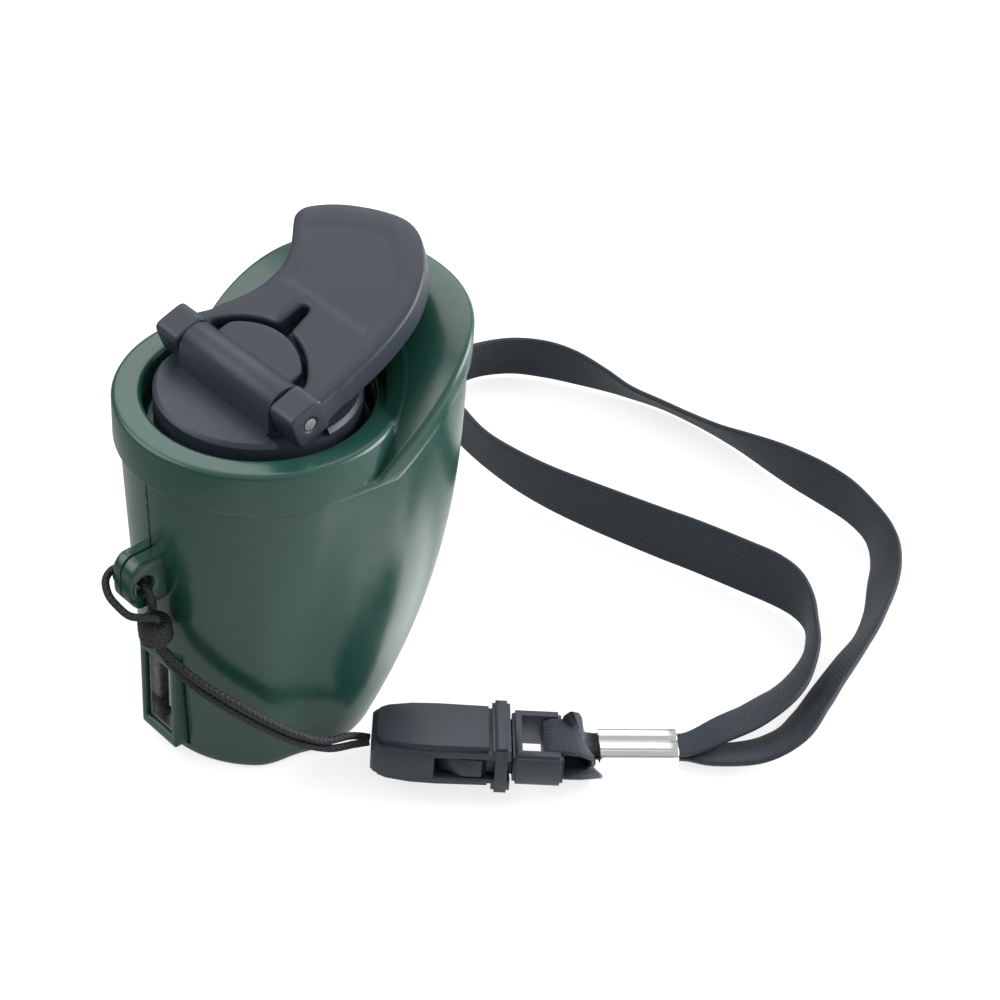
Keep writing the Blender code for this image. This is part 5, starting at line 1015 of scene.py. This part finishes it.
turns = np.linspace(math.pi / 2, math.pi, 4)
away = BAR_RISE - BAR_EDGE
near = BAR_MIDDLE - BAR_HALF
bend = [(BAR_MIDDLE + 2 * BAR_REACH, BAR_RISE)]
bend += [(near + away * np.cos(a), BAR_EDGE + away * np.sin(a)) for a in turns]
bend += [(near + away * np.cos(a), away * np.sin(a) - BAR_EDGE) for a in turns + math.pi / 2]
bend += [(BAR_MIDDLE + 2 * BAR_REACH, -BAR_RISE)]
bend = np.array([(x, 0, z) for x, z in bend]) @ buckle_pose.T + BUCKLE_CENTRE
bend = np.column_stack([bend, np.tile(buckle_pose @ (0, -1, 0), (len(bend), 1)),
                        np.full(len(bend), STRAP_WIDTH)])
reach = FERRULE_LENGTH / 2 + 2 * STRAP_THICKNESS
passes = {}
for side in (-1, 1):
    spots = np.array([(reach * k, 0, side * (STRAP_THICKNESS + PASS_GAP) / 2)
                      for k in (-1, -1 / 3, 1 / 3, 1)]) @ ferrule_pose.T + FERRULE_CENTRE
    passes[side] = np.column_stack([spots, np.tile(ferrule_pose @ (0, -1, 0), (4, 1)),
                                    np.full(4, STRAP_NARROW)])
stations = np.vstack([bend, passes[-1], strand(OUTER_STRAND, 3), strand(FAR_BEND, 0),
                      strand(INNER_STRAND, 3)[::-1], passes[1][::-1]])
closed = smooth_path(np.vstack([stations[-2:], stations, stations[:3]]), STRAP_FINE)
from_start = np.linalg.norm(closed[:, :3] - stations[0, :3], axis=1)
first = np.argmin(from_start[:JOIN_SPAN])
last = len(closed) - JOIN_SPAN + np.argmin(from_start[-JOIN_SPAN:])
loop = even_loop(closed[first:last], STRAP_STEP)
middle, lean, width = loop[:, :3], loop[:, 3:6], loop[:, 6]
along = unit(np.roll(middle, -1, axis=0) - np.roll(middle, 1, axis=0))
lean = unit(lean - along * np.sum(lean * along, axis=1)[:, None])
out = np.cross(along, lean)
low = np.abs(lean[:, 2]) * width / 2 + np.abs(out[:, 2]) * STRAP_THICKNESS / 2
middle[:, 2] = np.maximum(middle[:, 2], low + FLOOR_GAP)
# The tape's section has half-round edges; it is the same all the way round.
half = STRAP_THICKNESS / 2
round_turn = np.linspace(-math.pi / 2, math.pi / 2, EDGE_POINTS)
flat = np.linspace(-1, 1, FLAT_POINTS)[1:-1]
side_share = np.concatenate([np.ones(EDGE_POINTS), -flat, -np.ones(EDGE_POINTS), flat])
side_add = np.concatenate([half * np.cos(round_turn), 0 * flat, -half * np.cos(round_turn),
                           0 * flat])
thick = np.concatenate([half * np.sin(round_turn), half + 0 * flat, -half * np.sin(round_turn),
                        -half + 0 * flat])
sway = (width[:, None] / 2 - half) * side_share + side_add
grid = middle[:, None] + lean[:, None] * sway[..., None] + out[:, None] * thick[None, :, None]
strap = place_piece("strap_tape", surface(grid, close_rows=True, close_columns=True,
                                          steps=(STRAP_STEP, STRAP_ACROSS)),
                    "strap", webbing_look, ["strap_webbing"])

# Ferrule: a bright nickel-plated tube pressed round both strands, with a crease down its
# middle and shallow ribs, so it looks like two tubes side by side.
NICKEL = (0.60, 0.60, 0.59)
brushed, given, result = new_group("brushed", Roughness=0.25, Streaks=900.0)
streak = noise(brushed, Detail=4.0, Roughness=0.6)
stains = noise(brushed, Scale=130.0, Detail=3.0)
wire(brushed, (given.outputs["Streaks"], streak.inputs["Scale"]))
rough = math_node(brushed, "ADD", given.outputs["Roughness"], math_node(
    brushed, "MULTIPLY", math_node(brushed, "SUBTRACT", streak.outputs["Fac"], 0.5), 0.14))
bright = math_node(brushed, "MULTIPLY_ADD", stains.outputs["Fac"], 0.16, 0.92)
end_group(brushed, given, result, bright, rough, streak.outputs["Fac"])


def metal(name, base, roughness):
    """A metal finish with fine streaks in its gloss."""
    return new_look(name, base, roughness, brushed, 0.004, 0.5, Metallic=1.0)


nickel_look = metal("bright_nickel", NICKEL, 0.2)
SECTION_SIDES, ROUND_SHARE = 96, 0.46
WAIST_SHARE, WAIST_HALF, RIB_SHARE, RIB_PITCH, RIB_LOW = 0.20, 0.55, 0.05, 1.15, 0.6
FLATNESS, SQUARENESS, WALL_SHARE = 2.6, 0.8, 0.85
corner = FERRULE_THICKNESS * ROUND_SHARE
turn = full_turn(SECTION_SIDES)
across = (FERRULE_WIDTH / 2 - corner) * np.tanh(FLATNESS * np.cos(turn)) + corner * np.cos(turn)
over = FERRULE_THICKNESS / 2 * np.sign(np.sin(turn)) * np.abs(np.sin(turn)) ** SQUARENESS
waist = 1 - WAIST_SHARE * np.exp(-(across / WAIST_HALF) ** 2)
ribs = 1 - RIB_SHARE * np.cos(math.tau * across / RIB_PITCH) ** 2 * (np.abs(over) > RIB_LOW)
section = np.column_stack([across, over * waist * ribs])
hollow = section * [(FERRULE_WIDTH / 2 - FERRULE_WALL) / (FERRULE_WIDTH / 2),
                    (FERRULE_THICKNESS / 2 - FERRULE_WALL) / (FERRULE_THICKNESS / 2)]
end = FERRULE_LENGTH / 2
lips = np.radians([0, 30, 60, 90, 120, 150, 180])
rows = []
for side in (-1, 1):
    order = lips if side == 1 else lips[::-1]
    rows += [(side * (end - FERRULE_WALL / 2 + FERRULE_WALL / 2 * np.sin(a)),
              (1 - np.cos(a)) / 2) for a in order]
    rows += [(k * end * WALL_SHARE * -side, 1.0 if side == 1 else 0.0) for k in (-0.9, 0, 0.9)]
grid = np.array([np.column_stack([np.full(SECTION_SIDES, x),
                                  section * (1 - inward) + hollow * inward])
                 for x, inward in rows])
grid = grid @ ferrule_pose.T + FERRULE_CENTRE
place_piece("ferrule_tube", surface(grid, close_rows=True, close_columns=True), "strap",
            nickel_look, ["strap_ferrule"])

# Port: a green moulded frame lets the USB receptacle show in the near end. Inside it are the
# receptacle's folded steel and a white tongue with four brass contacts.
BEZEL_FRONT, BEZEL_DEPTH, PORT_HEIGHT = 19.9, 4.2, 11.0
BEZEL_HALF, BEZEL_TALL, PORT_HALF, PORT_TALL = 4.3, 8.7, 3.2, 6.9
PORT_STEP, PORT_ROLL, PORT_BACK_ROLL, PORT_CELL = 0.2, 0.35, 0.1, 1.0
CONTACT_HEIGHTS = (-4.5, -1.5, 1.5, 4.5)
CONTACT_HALF, CONTACT_START, CONTACT_END = 0.6, -0.3, 4.8
CONTACT_SUNK, CONTACT_PROUD, CONTACT_ROLL = 0.05, 0.12, 0.05
CONTACT_STEP, CONTACT_SWEEPS, CONTACT_CELL = 0.12, 4, 0.8
TONGUE_FRONT, TONGUE_FACE = 16.4, 0.55
BRASS = (0.55, 0.38, 0.14)
frame_loop, window_loop = (
    round_loop([(-half, -tall), (half, -tall), (half, tall), (-half, tall)], PORT_STEP, sweeps)
    for half, tall, sweeps in ((BEZEL_HALF, BEZEL_TALL, 6), (PORT_HALF, PORT_TALL, 2)))


def port_space(points):
    """Across the port, up it and outward from it, to the part's frame."""
    return np.column_stack([-points[:, 2], points[:, 0], points[:, 1] + PORT_HEIGHT])


mesh = plate([frame_loop, window_loop], level(BEZEL_FRONT - BEZEL_DEPTH), level(BEZEL_FRONT),
             PORT_ROLL, PORT_CELL, port_space, low_roll=PORT_BACK_ROLL)
keep_flat(place_piece("port_frame", mesh, "housing", green_look,
                      ["port_bezel"]))
brass_look = metal("brass", BRASS, 0.3)
contact = round_loop([(CONTACT_START, -CONTACT_HALF), (CONTACT_END, -CONTACT_HALF),
                      (CONTACT_END, CONTACT_HALF), (CONTACT_START, CONTACT_HALF)],
                     CONTACT_STEP, CONTACT_SWEEPS)
for n, height in enumerate(CONTACT_HEIGHTS, 1):
    def contact_space(points, height=height):
        """Each contact is a thin strip on the tongue's open face, running inward."""
        return np.column_stack([points[:, 0] - TONGUE_FRONT, -TONGUE_FACE - points[:, 2],
                                points[:, 1] + PORT_HEIGHT + height])

    mesh = plate([contact], level(-CONTACT_SUNK), level(CONTACT_PROUD), CONTACT_ROLL,
                 CONTACT_CELL, contact_space)
    place_piece(f"usb_contact_{n}", mesh, "housing", brass_look)

# Pieces of the CAD model that are smoothed and coloured here: the hub, the knob and the buckle
# outside, and inside the housing the gears on their steel plate, the generator with its magnet
# ring, the charging board, the receptacle and the screws.
WELD_DISTANCE, BEVEL_MARGIN = 0.002, 10


def carry(names, look, angle=32, edge=0.0):
    """Give CAD nodes a material and smooth shading that breaks at their real edges, which
    are rounded where an edge width is given."""
    for name in names:
        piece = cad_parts[name]
        weld = piece.modifiers.new("weld", "WELD")
        weld.merge_threshold = WELD_DISTANCE * MM
        if edge:
            round_edges(piece, edge, 3, angle)
        split = piece.modifiers.new("sharp", "EDGE_SPLIT")
        split.split_angle = math.radians(angle + BEVEL_MARGIN if edge else angle)
        piece.data.polygons.foreach_set("use_smooth", [True] * len(piece.data.polygons))
        for place in piece.material_slots:
            place.material = look


def plastic(name, base, roughness, tone=0.08, grain=2600.0):
    """A moulded or painted finish."""
    return new_look(name, base, roughness, moulded, 0.01, 0.5, Tone=tone, Grain=grain)


steel_look = metal("turned_steel", (0.47, 0.48, 0.49), 0.28)
carry(["crank_hub"], crank_look, edge=0.35)
carry(["grip_knob"], crank_look)
carry(["usb_shell", "hinge_pin", "knob_rivet", "hub_screw", "gear_plate", "idler_axle",
       "generator_can", "generator_shaft", "rotor_core"]
      + [f"plate_screw_{n}" for n in range(1, 5)] + [f"shell_screw_{n}" for n in range(1, 4)],
      steel_look)
carry(["hub_bush", "generator_pinion"], brass_look)
carry(["buckle_socket", "buckle_prong"], plastic("buckle_plastic", (0.024, 0.030, 0.040), 0.42),
      edge=0.3)
carry(["drive_gear", "idler_gear"], plastic("white_acetal", (0.72, 0.71, 0.66), 0.35))
carry(["usb_tongue"], plastic("white_tongue", (0.66, 0.60, 0.57), 0.45))
carry(["generator_end_cap", "regulator"], plastic("black_moulding", (0.03, 0.03, 0.033), 0.5))
carry(["circuit_board"], plastic("board_lacquer", (0.02, 0.12, 0.05), 0.35, 0.3, 900.0))
carry(["capacitor"], plastic("sleeve", (0.03, 0.04, 0.10), 0.3))
carry(["magnet_ring"], plastic("sintered_magnet", (0.09, 0.09, 0.095), 0.55, 0.2, 1500.0))

# Leads: two thin insulated wires, a red and a black one, from the generator's end cap to the
# charging board.
LEAD_RADIUS, LEAD_SIDES, LEAD_STEP = 0.5, 16, 0.25
CAP_MIDDLE, CAP_SPREAD = np.array([3.0, -0.8, 19.4]), np.array([5.0, 0.0, 0.0])
LEAD_DROP, LEAD_BEND, LEAD_END = (0, 0, 2.0), (0.15, 16.0), (3.15, 15.0)
LEADS = (
    ("positive_lead", 1, 9.6, (0.45, 0.02, 0.02), "lead_red"),
    ("negative_lead", -1, 2.0, (0.03, 0.03, 0.03), "lead_black"),
)
for name, side, end_x, base, slot in LEADS:
    start = CAP_MIDDLE + side * CAP_SPREAD
    route = smooth_path([start, start - LEAD_DROP, (end_x, *LEAD_BEND), (end_x, *LEAD_END)],
                        LEAD_STEP)
    place_piece(name + "_wire", rod(route, LEAD_RADIUS, LEAD_SIDES, LEAD_STEP), "housing",
                plastic(name + "_sleeve", base, 0.35), [name])
